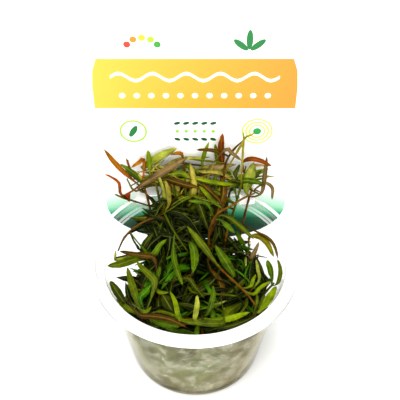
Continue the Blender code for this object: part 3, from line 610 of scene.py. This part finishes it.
def smoothLine(points, count):
    # evenly spaced points along a smooth curve through the given ones
    ends = [points[0] * 2 - points[1]] + list(points) + [points[-1] * 2 - points[-2]]
    fine = []
    for k in range(1, len(ends) - 2):
        a, b, c, d = ends[k - 1:k + 3]
        for step in range(10):
            t = step / 10
            fine.append(0.5 * (2 * b + (c - a) * t + (2 * a - 5 * b + 4 * c - d) * t * t
                               + (3 * b - a - 3 * c + d) * t ** 3))
    fine.append(points[-1].copy())
    lengths = [0.0]
    for one, two in zip(fine, fine[1:]):
        lengths.append(lengths[-1] + (two - one).length)
    line = []
    k = 0
    for step in range(count):
        wanted = lengths[-1] * step / (count - 1)
        while k < len(fine) - 2 and lengths[k + 1] < wanted:
            k += 1
        span = max(lengths[k + 1] - lengths[k], 1e-9)
        line.append(fine[k].lerp(fine[k + 1], min(max((wanted - lengths[k]) / span, 0.0), 1.0)))
    return line


def heading(line, k):
    return (line[min(k + 1, len(line) - 1)] - line[max(k - 1, 0)]).normalized()


def between(pairs, t):
    # a value read from (place, value) pairs, eased from one to the next
    for (t0, v0), (t1, v1) in zip(pairs, pairs[1:]):
        if t <= t1:
            share = (t - t0) / (t1 - t0)
            return v0 + (v1 - v0) * share * share * (3 - 2 * share)
    return pairs[-1][1]


# One leaf: lance-shaped, with a sunk midrib, raised wavy sides and a blunt tip
leafForm = {
    "outline": ((0.0, 0.24), (0.12, 0.5), (0.34, 0.92), (0.5, 1.0), (0.7, 0.86), (0.86, 0.55),
                (0.96, 0.22), (1.0, 0.03)),
    "stalkWidth": 0.85 * mm,
    "thickness": 0.22 * mm,
    "midribDepth": 0.16 * mm,
    "sideRise": (0.05, 0.42),
    "wave": (0.06 * mm, 0.26 * mm),
    "waves": (2.5, 4.5),
}


def addLeaf(bm, leaf, columns, rows, chance):
    # leaf: spine points, width, the way across it, tints of base and tip
    uvLayer, tintLayer = bm.loops.layers.uv["leafUv"], bm.verts.layers.float_color["tint"]
    made = bmesh.ops.create_grid(bm, x_segments=columns, y_segments=rows, size=0.5)["verts"]
    spots = {vert: (vert.co.x * 2, vert.co.y + 0.5) for vert in made}
    faces = {face for vert in made for face in vert.link_faces}
    line = smoothLine(leaf["spine"], rows + 1)
    stalk = leaf["stalk"] / max(sum((b - a).length for a, b in zip(line, line[1:])), 1e-6)
    stalk = min(stalk, 0.5)
    rise = chance.uniform(*leafForm["sideRise"]) * leaf["width"] / 2
    wave, waves = chance.uniform(*leafForm["wave"]), chance.uniform(*leafForm["waves"])
    phases = [chance.uniform(0, 6.3), chance.uniform(0, 6.3)]
    shade = chance.uniform(0.82, 1.18)
    base, tip = Vector(srgb(leaf["tints"][0])) * shade, Vector(srgb(leaf["tints"][1])) * shade
    for face in faces:
        for loop in face.loops:
            u, t = spots[loop.vert]
            loop[uvLayer].uv = (u * 0.5 + 0.5, t)
    for vert, (u, t) in spots.items():
        k = min(max(round(t * rows), 0), rows)
        along = heading(line, k)
        across = (leaf["across"] - along * leaf["across"].dot(along)).normalized()
        out = across.cross(along)
        share = max((t - stalk) / (1 - stalk), 0.0)
        half = max(between(leafForm["outline"], share) * leaf["width"], 0.0) / 2
        if t < stalk:
            half = leafForm["stalkWidth"] / 2
        half = max(half, leafForm["stalkWidth"] / 2 * min(1.0, (1 - t) * 14))
        ease = min(share * 4, 1.0)
        lift = rise * abs(u) ** 1.6 * ease
        lift -= leafForm["midribDepth"] * max(0.0, 1 - abs(u) * 3) * ease
        lift += wave * u * u * math.sin(waves * 6.28 * t + phases[u > 0]) * ease
        vert.co = line[k] + across * half * u + out * lift
        colour = base.lerp(tip, t)
        vert[tintLayer] = (colour[0], colour[1], colour[2], 1.0)
    tipVerts = [vert for vert, (u, t) in spots.items() if t > 0.999]
    centre = [vert for vert in tipVerts if abs(spots[vert][0]) < 0.01][0].co.copy()
    bmesh.ops.pointmerge(bm, verts=tipVerts, merge_co=centre)
    faces = [face for face in faces if face.is_valid]
    bmesh.ops.solidify(bm, geom=faces, thickness=leafForm["thickness"])


# One stem: round, thinning upwards, a little swollen where leaves grow
stemForm = {
    "sides": 7,
    "fineness": 3,
    "nodeSwell": 0.25,
    "nodeSpacing": 7.5 * mm,
    "tints": (("#46520f", "#66701c"), ("#4c3216", "#6e5028"), ("#34420c", "#56641a"), ("#5a3c20", "#84602c")),
}


def addStem(bm, line, radii, tints, sides, fineness):
    # a smooth tapering tube through the line, closed at both ends
    uvLayer, tintLayer = bm.loops.layers.uv["leafUv"], bm.verts.layers.float_color["tint"]
    count = (len(line) - 1) * fineness + 1
    path = smoothLine(line, count)
    length = sum((b - a).length for a, b in zip(path, path[1:]))
    first, last = Vector(srgb(tints[0])), Vector(srgb(tints[1]))
    across = Vector((0.6, 0.8, 0.0))
    foot = bmesh.ops.create_circle(bm, cap_ends=True, segments=sides, radius=1.0)["verts"]
    face = foot[0].link_faces[0]
    foot = [loop.vert for loop in face.loops]
    for k, centre in enumerate(path):
        share = k / (count - 1)
        spot = share * (len(radii) - 1)
        low = int(spot)
        high = min(low + 1, len(radii) - 1)
        radius = radii[low] + (radii[high] - radii[low]) * (spot - low)
        node = math.cos(share * length / stemForm["nodeSpacing"] * 2 * math.pi)
        radius *= 1 + stemForm["nodeSwell"] * max(node, 0.0) ** 4
        along = heading(path, k)
        across = (across - along * across.dot(along)).normalized()
        out = along.cross(across)
        if k > 0:
            face = bmesh.ops.extrude_discrete_faces(bm, faces=[face])["faces"][0]
        if k == 1:
            bm.faces.new(list(reversed(foot)))
        colour = first.lerp(last, share)
        for n, loop in enumerate(face.loops):
            angle = 2 * math.pi * n / sides
            loop.vert.co = centre + (across * math.cos(angle) + out * math.sin(angle)) * radius
            loop.vert[tintLayer] = (colour[0], colour[1], colour[2], 1.0)
            for other in loop.vert.link_loops:
                other[uvLayer].uv = (0.25, share)


# Where leaves may be added: the tangle's top, and its outline from the front in mm on the picture plane
tangle = {
    "top": 60.0 * mm,
    "backTop": 96.0 * mm,
    "riseFrom": 10.0 * mm,
    "back": 47.0 * mm,
    "below": 2.6 * mm,
    "outline": ((-35, 3), (-41, -5), (-37, -14), (-25, -18), (-24, -24), (-36, -31), (-46, -34),
                (-47, -42), (-41, -52), (-25, -63), (-5, -67), (15, -65), (31, -56), (39, -42),
                (40, -31), (31, -28), (23, -21), (12, -16), (13, -3), (20, 2), (31, 2), (38, 4),
                (38, 17), (28, 22), (12, 23), (0, 24), (-10, 23), (-22, 21), (-38, 18), (-41, 10), (-39, 3)),
    # places that stay open: both hooks with their feet, and a gap to the far wall
    "open": ((-32.5, 1.5, -18.5, 7.0), (-32.5, -3.0, -23.5, 2.0), (12.5, 1.5, 28.5, 7.0),
             (19.5, -3.0, 28.5, 2.0), (0, -20, 7, -14), (-46, -8, -31, 3), (28, -8, 44, 3)),
    "leaves": 1040,
    # where leaves end, in mm, and how often: in the cup, over its far rim, and in the shade under that
    "cup": ((-44, -44, 30), (44, 48, 80)),
    "overRim": ((-44, 26, 66), (44, 48, 96)),
    "pocket": ((-40, 12, 54), (12, 40, 76)),
    "shares": (0.55, 0.3, 0.15),
    "tries": 60000,
    "reach": (12.0 * mm, 34.0 * mm),
    "slimness": (0.1, 0.18),
    "arch": (0.0, 0.26),
    # leaves deeper than this under the tangle's top are painted dark as shade
    "skin": 5.0 * mm,
    "dryAbove": 9.0,
    "overSlimness": (0.09, 0.15),
    "widest": 5.0 * mm,
    "thinShare": 0.17,
    "thinWidth": 0.9 * mm,
    # where every leaf is painted dark as shade, under the far rim: a box on the picture plane in mm
    "shade": (-42, -19, 12, -3),
}


def tangleHeight(y):
    share = min(max((y - tangle["riseFrom"]) / (tangle["back"] - tangle["riseFrom"]), 0.0), 1.0)
    return tangle["top"] + (tangle["backTop"] - tangle["top"]) * share


def withinOutline(point):
    # even number of crossings is outside
    x, y = pictureSpot(point)
    for x0, y0, x1, y1 in tangle["open"]:
        if x0 < x < x1 and y0 < y < y1:
            return False
    inside = False
    corners = tangle["outline"]
    for k, (x1, y1) in enumerate(corners):
        x2, y2 = corners[k - 1]
        if (y1 > y) != (y2 > y) and x < x1 + (x2 - x1) * (y - y1) / (y2 - y1):
            inside = not inside
    return inside


def roomFor(point):
    # whether a leaf may reach this point: inside the cup or over its far rim, under the tangle's top
    reach = math.hypot(point.x, point.y)
    if point.z > tangleHeight(point.y) - tangle["below"] or point.y > tangle["back"] + 1.5 * mm:
        return False
    if point.z < cup["rimTop"] + 1.5 * mm:
        if reach > innerRadius(min(point.z, cup["mouthHeight"])) - 1.2 * mm:
            return False
    return point.z > gel["top"] + 1.0 * mm and withinOutline(point)


def tintsFor(tip, chance):
    # a leaf that the photograph shows has its own tint
    x, y = pictureSpot(tip)
    found = min(((math.hypot(x - tx, y - ty), name) for name, tips in tintedTips.items() for tx, ty in tips))
    return leafTints[found[1]] if found[0] < 2.0 else chanceTints(tip, tip, chance)


def chanceTints(tip, middle, chance):
    # any other leaf: dried above the rim, green in the light, and painted dark as shade deep in the tangle and in
    # the shade box
    x0, y0, x1, y1 = tangle["shade"]
    for x, y in (pictureSpot(tip), pictureSpot(middle)):
        if x0 < x < x1 and y0 < y < y1:
            return leafTints[chance.choice(("dark", "dark", "dark", "darkOlive", "dark"))]
    height = pictureSpot(tip)[1]
    if tip.z > cup["rimTop"] and height > tangle["dryAbove"]:
        return leafTints[chance.choice(("straw", "pale", "tan", "olive", "straw", "bright", "straw", "brown"))]
    if tip.z > cup["rimTop"]:
        return leafTints[chance.choice(("olive", "darkOlive", "green", "brown", "olive", "pale", "darkOlive"))]
    if tangleHeight(tip.y) - tip.z < tangle["skin"]:
        return leafTints[chance.choice(("olive", "green", "darkOlive", "olive", "darkOlive", "pale", "brown"))]
    return leafTints[chance.choice(("dark", "dark", "darkOlive", "dark", "vivid", "dark"))]


def leafMaterial():
    # living leaf: waxy skin over soft green tissue, so light goes a little way in
    material, shader = newMaterial("living leaf and stem", {
        "Roughness": 0.4,
        "IOR": 1.42,
        "Specular IOR Level": 0.1,
        "Subsurface Weight": 0.1,
        "Subsurface Radius": (0.9 * mm, 1.4 * mm, 0.4 * mm),
        "Subsurface Scale": 1.0,
    })
    tint = addNode(material, "ShaderNodeAttribute", {"attribute_name": "tint"})
    uv = addNode(material, "ShaderNodeUVMap", {"uv_map": "leafUv"})
    split = addNode(material, "ShaderNodeSeparateXYZ", links={"Vector": (uv, "UV")})
    place = addNode(material, "ShaderNodeTexCoord")
    # blotches about 2 mm across
    blotches = addNode(material, "ShaderNodeTexNoise", {
        "Scale": 1 / (4 * mm), "Detail": 4.0, "Roughness": 0.6,
    }, {"Vector": (place, "Object")})
    value = addNode(material, "ShaderNodeMapRange", {
        "From Min": 0.3, "From Max": 0.7, "To Min": 0.34, "To Max": 0.92,
    }, {"Value": (blotches, "Fac")})
    # distance from the midrib, 0 there and 0.5 at the margin
    side = addNode(material, "ShaderNodeMath", {"operation": "SUBTRACT", 1: 0.5}, {0: (split, "X")})
    away = addNode(material, "ShaderNodeMath", {"operation": "ABSOLUTE"}, {0: (side, "Value")})
    rib = addNode(material, "ShaderNodeMapRange", {
        "interpolation_type": "SMOOTHSTEP",
        "From Min": 0.015, "From Max": 0.08, "To Min": 0.38, "To Max": 0.0,
    }, {"Value": (away, "Value")})
    # side veins run forward from the midrib, about 1.2 mm apart
    slant = addNode(material, "ShaderNodeMath", {"operation": "MULTIPLY", 1: 0.35}, {0: (away, "Value")})
    run = addNode(material, "ShaderNodeMath", {"operation": "SUBTRACT"}, {0: (split, "Y"), 1: (slant, "Value")})
    often = addNode(material, "ShaderNodeMath", {"operation": "MULTIPLY", 1: 88.0}, {0: (run, "Value")})
    veins = addNode(material, "ShaderNodeMath", {"operation": "SINE"}, {0: (often, "Value")})
    veinShade = addNode(material, "ShaderNodeMapRange", {
        "From Min": -1.0, "From Max": 1.0, "To Min": 0.93, "To Max": 1.07,
    }, {"Value": (veins, "Value")})
    shade = addNode(material, "ShaderNodeMath", {"operation": "MULTIPLY"}, {
        0: (value, "Result"), 1: (veinShade, "Result"),
    })
    hued = addNode(material, "ShaderNodeHueSaturation", {"Saturation": 1.1}, {
        "Value": (shade, "Value"), "Color": (tint, "Color"),
    })
    ribbed = addNode(material, "ShaderNodeMix", {"data_type": "RGBA", 7: srgb("#8c9438")}, {
        0: (rib, "Result"), 6: (hued, "Color"),
    })
    connect(material, ribbed, 2, shader, "Base Color")
    relief = addNode(material, "ShaderNodeMath", {"operation": "MULTIPLY_ADD", 1: 0.3}, {
        0: (veins, "Value"), 2: (blotches, "Fac"),
    })
    bump = addNode(material, "ShaderNodeBump", {"Strength": 0.35, "Distance": 0.2 * mm}, {
        "Height": (relief, "Value"),
    })
    connect(material, bump, "Normal", shader, "Normal")
    return material


# Roots: pale threads from each shoot's foot down into the gel
roots = {
    "perShoot": 6,
    "length": (16.0 * mm, 38.0 * mm),
    "radius": 0.22 * mm,
    "tints": ("#c8bc98", "#d0c8aa"),
}


def addRoots(bm, foot, chance):
    for k in range(roots["perShoot"]):
        angle = chance.uniform(0, 2 * math.pi)
        outward = Vector((math.cos(angle), math.sin(angle), 0.0)) * chance.uniform(0.3, 1.0)
        length = chance.uniform(*roots["length"])
        line = [foot + Vector((0, 0, 0.2 * mm))]
        step = length / 5
        going = (outward * 1.2 + Vector((0, 0, -1))).normalized()
        for n in range(5):
            going = (going + outward * 0.25 + Vector([chance.uniform(-0.35, 0.35) for _ in range(3)])).normalized()
            spot = line[-1] + going * step
            most = innerRadius(max(spot.z, 4 * mm)) - 0.5 * mm
            flat = math.hypot(spot.x, spot.y)
            if flat > most:
                spot.x, spot.y = spot.x * most / flat, spot.y * most / flat
            spot.z = max(spot.z, 2.6 * mm)
            line.append(spot)
        addStem(bm, line, [roots["radius"], roots["radius"] * 0.5], roots["tints"], 4, 2)


def leafWidth(length, tip, chance):
    # one filling leaf in six is a thin stalk or a young leaf, and those over the rim are all slim
    if chance.random() < tangle["thinShare"]:
        return tangle["thinWidth"]
    if tip.z > cup["rimTop"]:
        return length * chance.uniform(*tangle["overSlimness"])
    return min(length * chance.uniform(*tangle["slimness"]), tangle["widest"])


def tangleLeaves(shoots, chance):
    # leaves that fill the tangle: each reaches for a free spot from a stem not far off
    stems = [(point, owner) for owner, shoot in shoots.items() for point in smoothLine(shoot["line"], 40)[2:]]
    tree = KDTree(len(stems))
    for k, (point, owner) in enumerate(stems):
        tree.insert(point, k)
    tree.balance()
    grown = {owner: [] for owner in shoots}
    made = 0
    for attempt in range(tangle["tries"]):
        if made == tangle["leaves"]:
            break
        zone = chance.choices(("cup", "overRim", "pocket"), tangle["shares"])[0]
        lowest, highest = tangle[zone]
        tip = Vector([chance.uniform(a, b) for a, b in zip(lowest, highest)]) * mm
        if not roomFor(tip):
            continue
        near = [hit for hit in tree.find_range(tip, tangle["reach"][1])
                if hit[2] > tangle["reach"][0] and hit[0].z < tip.z + 3 * mm]
        if not near:
            continue
        foot = chance.choice(near)
        length = foot[2]
        side = Vector((chance.uniform(-1, 1), chance.uniform(-1, 1), 0.0)) * length * 0.14
        middle = foot[0].lerp(tip, 0.5) + side + Vector((0, 0, length * chance.uniform(*tangle["arch"])))
        spine = [foot[0], foot[0].lerp(middle, 0.3), middle, tip]
        if not all(roomFor(spot) for spot in smoothLine(spine, 9)[2:]):
            continue
        going = (tip - foot[0]).normalized()
        flat = Vector((0, 0, 1)).cross(going)
        if flat.length < 0.1:
            flat = going.orthogonal()
        turn = Matrix.Rotation(chance.uniform(-1.1, 1.1), 3, going)
        grown[stems[foot[1]][1]].append({
            "spine": spine,
            "width": leafWidth(length, tip, chance),
            "across": turn @ flat.normalized(),
            "stalk": 1.2 * mm,
            "tints": chanceTints(tip, middle, chance),
        })
        made += 1
    return grown


livingLeaf = leafMaterial()
shoots = {"shoot_%02d" % number: readShoot("shoot_%02d" % number) for number in range(1, 28)}
grown = tangleLeaves(shoots, random.Random(31))
count = 0
for number, (node, shoot) in enumerate(shoots.items(), 1):
    chance = random.Random(100 + number)
    bm = bmesh.new()
    bm.loops.layers.uv.new("leafUv")
    bm.verts.layers.float_color.new("tint")
    addStem(bm, shoot["line"], shoot["radii"], stemForm["tints"][number % 4],
            stemForm["sides"], stemForm["fineness"])
    for leaf in shoot["leaves"]:
        leaf["tints"] = tintsFor(leaf["spine"][-1], chance)
        large = leaf["width"] > 2.3 * mm
        addLeaf(bm, leaf, 6, 18 if large else 12, chance)
    for leaf in grown[node]:
        addLeaf(bm, leaf, 2, 8, chance)
    addRoots(bm, shoot["line"][0], chance)
    count += len(shoot["leaves"]) + len(grown[node])
    bmesh.ops.recalc_face_normals(bm, faces=bm.faces[:])
    piece = finishPiece("plantlet%02d" % number, bm, [livingLeaf])
    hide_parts(node)
print("plants made,", count, "leaves")


# The print's motifs: thin raised ink, a generic design of sprigs, rings and dots
motifs = {
    "front": 50.8 * mm,
    "ink": 0.05 * mm,
    "steps": 28,
}


def inkMaterial():
    # cured screen ink: smooth and slightly glossy, so it catches light a little more than the sheet
    material, shader = newMaterial("cured screen ink", {"Roughness": 0.3, "IOR": 1.5})
    tint = addNode(material, "ShaderNodeAttribute", {"attribute_name": "tint"})
    place = addNode(material, "ShaderNodeTexCoord")
    # ink spread, about 0.6 mm across
    spread = addNode(material, "ShaderNodeTexNoise", {"Scale": 1 / (1.2 * mm)}, {"Vector": (place, "Object")})
    value = addNode(material, "ShaderNodeMapRange", {"To Min": 0.94, "To Max": 1.06}, {"Value": (spread, "Fac")})
    hued = addNode(material, "ShaderNodeHueSaturation", links={
        "Value": (value, "Result"), "Color": (tint, "Color"),
    })
    connect(material, hued, "Color", shader, "Base Color")
    return material


def paint(bm, verts, hexColour):
    layer = bm.verts.layers.float_color["tint"]
    for vert in verts:
        vert[layer] = srgb(hexColour)


def addDisc(bm, x, z, width, height, turn, hexColour):
    # a flat oval of ink standing on the card's front
    made = bmesh.ops.create_cone(bm, cap_ends=True, segments=motifs["steps"], radius1=1.0, radius2=1.0,
                                 depth=motifs["ink"])["verts"]
    bmesh.ops.scale(bm, vec=(width / 2, height / 2, 1.0), verts=made)
    place = Matrix.Translation((x, motifs["front"] - motifs["ink"] / 2, z))
    place = place @ Matrix.Rotation(turn, 4, "Y") @ Matrix.Rotation(math.pi / 2, 4, "X")
    bmesh.ops.transform(bm, matrix=place, verts=made)
    paint(bm, made, hexColour)


def addRing(bm, x, z, radius, line, hexColour):
    # a ring of ink: a thin square section spun round the ring's middle
    y = motifs["front"]
    section = [(x + radius, y), (x + radius + line, y), (x + radius + line, y - motifs["ink"]),
               (x + radius, y - motifs["ink"])]
    verts = [bm.verts.new((sx, sy, z)) for sx, sy in section]
    edges = [bm.edges.new((verts[k], verts[k - 1])) for k in range(4)]
    before = set(bm.verts)
    bmesh.ops.spin(bm, geom=verts + edges, cent=(x, y, z), axis=(0, 1, 0), angle=2 * math.pi,
                   steps=motifs["steps"], use_merge=True)
    made = list(set(bm.verts) - before) + [vert for vert in verts if vert.is_valid]
    paint(bm, made, hexColour)


def addWave(bm, x0, x1, z, height, line, waves, hexColour):
    # a waved line of ink from x0 to x1
    made = bmesh.ops.create_grid(bm, x_segments=60, y_segments=1, size=0.5)["verts"]
    faces = list({face for vert in made for face in vert.link_faces})
    for vert in made:
        share = vert.co.x + 0.5
        vert.co = Vector((x0 + (x1 - x0) * share, motifs["front"],
                          z + height * math.sin(share * waves * 2 * math.pi) + vert.co.y * line))
    raised = bmesh.ops.extrude_face_region(bm, geom=faces)["geom"]
    raised = [vert for vert in raised if isinstance(vert, bmesh.types.BMVert)]
    bmesh.ops.translate(bm, verts=raised, vec=(0, -motifs["ink"], 0))
    paint(bm, [vert for vert in made if vert.is_valid] + raised, hexColour)


bm = bmesh.new()
bm.verts.layers.float_color.new("tint")
for k, tint in enumerate(("#d8432a", "#ef8a2c", "#f3c930", "#a9cf3a", "#3f9a3c")):
    angle = math.radians(150 - 30 * k)
    addDisc(bm, (-24 + 8 * math.cos(angle)) * mm, (152 + 7 * math.sin(angle)) * mm, 3.2 * mm, 3.2 * mm, 0.0, tint)
for turn, reach in ((-50, 8.5), (0, 10), (50, 8.5)):
    angle = math.radians(turn)
    addDisc(bm, (25 + reach * 0.6 * math.sin(angle)) * mm, (152 + reach * 0.6 * math.cos(angle)) * mm,
            3.0 * mm, reach * mm, angle, "#1f7a3a")
addWave(bm, -40 * mm, 40 * mm, 138 * mm, 2.0 * mm, 1.8 * mm, 5, "#fffaf0")
for k in range(11):
    addDisc(bm, (-35 + 7 * k) * mm, 127.5 * mm, 3.0 * mm, 3.0 * mm, 0.0, "#fffaf0")
addRing(bm, -31 * mm, 106 * mm, 6.0 * mm, 0.9 * mm, "#9ad03c")
addDisc(bm, -31 * mm, 106 * mm, 3.0 * mm, 7.6 * mm, 0.5, "#1f7a3a")
for radius in (3.4, 5.2, 7.0):
    addRing(bm, 31 * mm, 106 * mm, radius * mm, 0.8 * mm, "#c8df5a")
addDisc(bm, 31 * mm, 106 * mm, 4.0 * mm, 4.0 * mm, 0.0, "#2f9a4a")
for k in range(5):
    addDisc(bm, (-9 + 4.5 * k) * mm, 111 * mm, 3.2 * mm, 1.7 * mm, -0.3, "#1f5a33")
    addDisc(bm, (-9 + 4.5 * k) * mm, 106 * mm, 1.8 * mm, 1.8 * mm, 0.0, "#8fce3a")
    addDisc(bm, (-9 + 4.5 * k) * mm, 101 * mm, 3.2 * mm, 1.7 * mm, 0.3, "#1f5a33")
bmesh.ops.recalc_face_normals(bm, faces=bm.faces[:])
finishPiece("printedMotifs", bm, [inkMaterial()], smooth=False)
print("print made")


# The studio: a plain pale floor, soft light from above and a camera at the photograph's angle
studio = {
    "floorSize": 3.0,
    "floorTint": "#fefefe",
    "skyTint": "#ffffff",
    "skyStrength": 0.72,
}
bm = bmesh.new()
bmesh.ops.create_grid(bm, x_segments=1, y_segments=1, size=studio["floorSize"] / 2)
bmesh.ops.translate(bm, verts=bm.verts[:], vec=(0, 0, -0.05 * mm))
mesh = bpy.data.meshes.new("studioFloor")
bm.to_mesh(mesh)
bm.free()
floor = bpy.data.objects.new("studioFloor", mesh)
bpy.context.scene.collection.objects.link(floor)
floorPaint, shader = newMaterial("matt paper floor", {
    "Base Color": srgb(studio["floorTint"]), "Roughness": 0.9,
})
mesh.materials.append(floorPaint)

world = bpy.data.worlds.new("softbox")
world.use_nodes = True
world.node_tree.nodes["Background"].inputs["Color"].default_value = srgb(studio["skyTint"])
world.node_tree.nodes["Background"].inputs["Strength"].default_value = studio["skyStrength"]
bpy.context.scene.world = world

lamps = {
    # name: place in metres, size in metres, power in watts
    "keySoftbox": ((-0.12, -0.22, 0.9), 0.7, 9.0),
    "fillSoftbox": ((0.2, -0.9, 0.4), 0.8, 5.5),
}
for name, (place, size, power) in lamps.items():
    lamp = bpy.data.lights.new(name, "AREA")
    lamp.size = size
    lamp.energy = power
    holder = bpy.data.objects.new(name, lamp)
    holder.location = place
    holder.rotation_euler = (Vector((0, 0, 0.06)) - Vector(place)).to_track_quat("-Z", "Y").to_euler()
    bpy.context.scene.collection.objects.link(holder)

camera = bpy.data.cameras.new("photographCamera")
camera.sensor_fit = "HORIZONTAL"
camera.sensor_width = 36.0
camera.lens = eye["lens"]
camera.clip_start = 0.01
holder = bpy.data.objects.new("photographCamera", camera)
holder.location = eye["place"]
holder.rotation_euler = (math.pi / 2 - eye["slope"], 0.0, 0.0)
bpy.context.scene.collection.objects.link(holder)
bpy.context.scene.camera = holder
bpy.context.scene.view_settings.view_transform = "Standard"
bpy.context.scene.view_settings.gamma = 0.85

print("scene made")
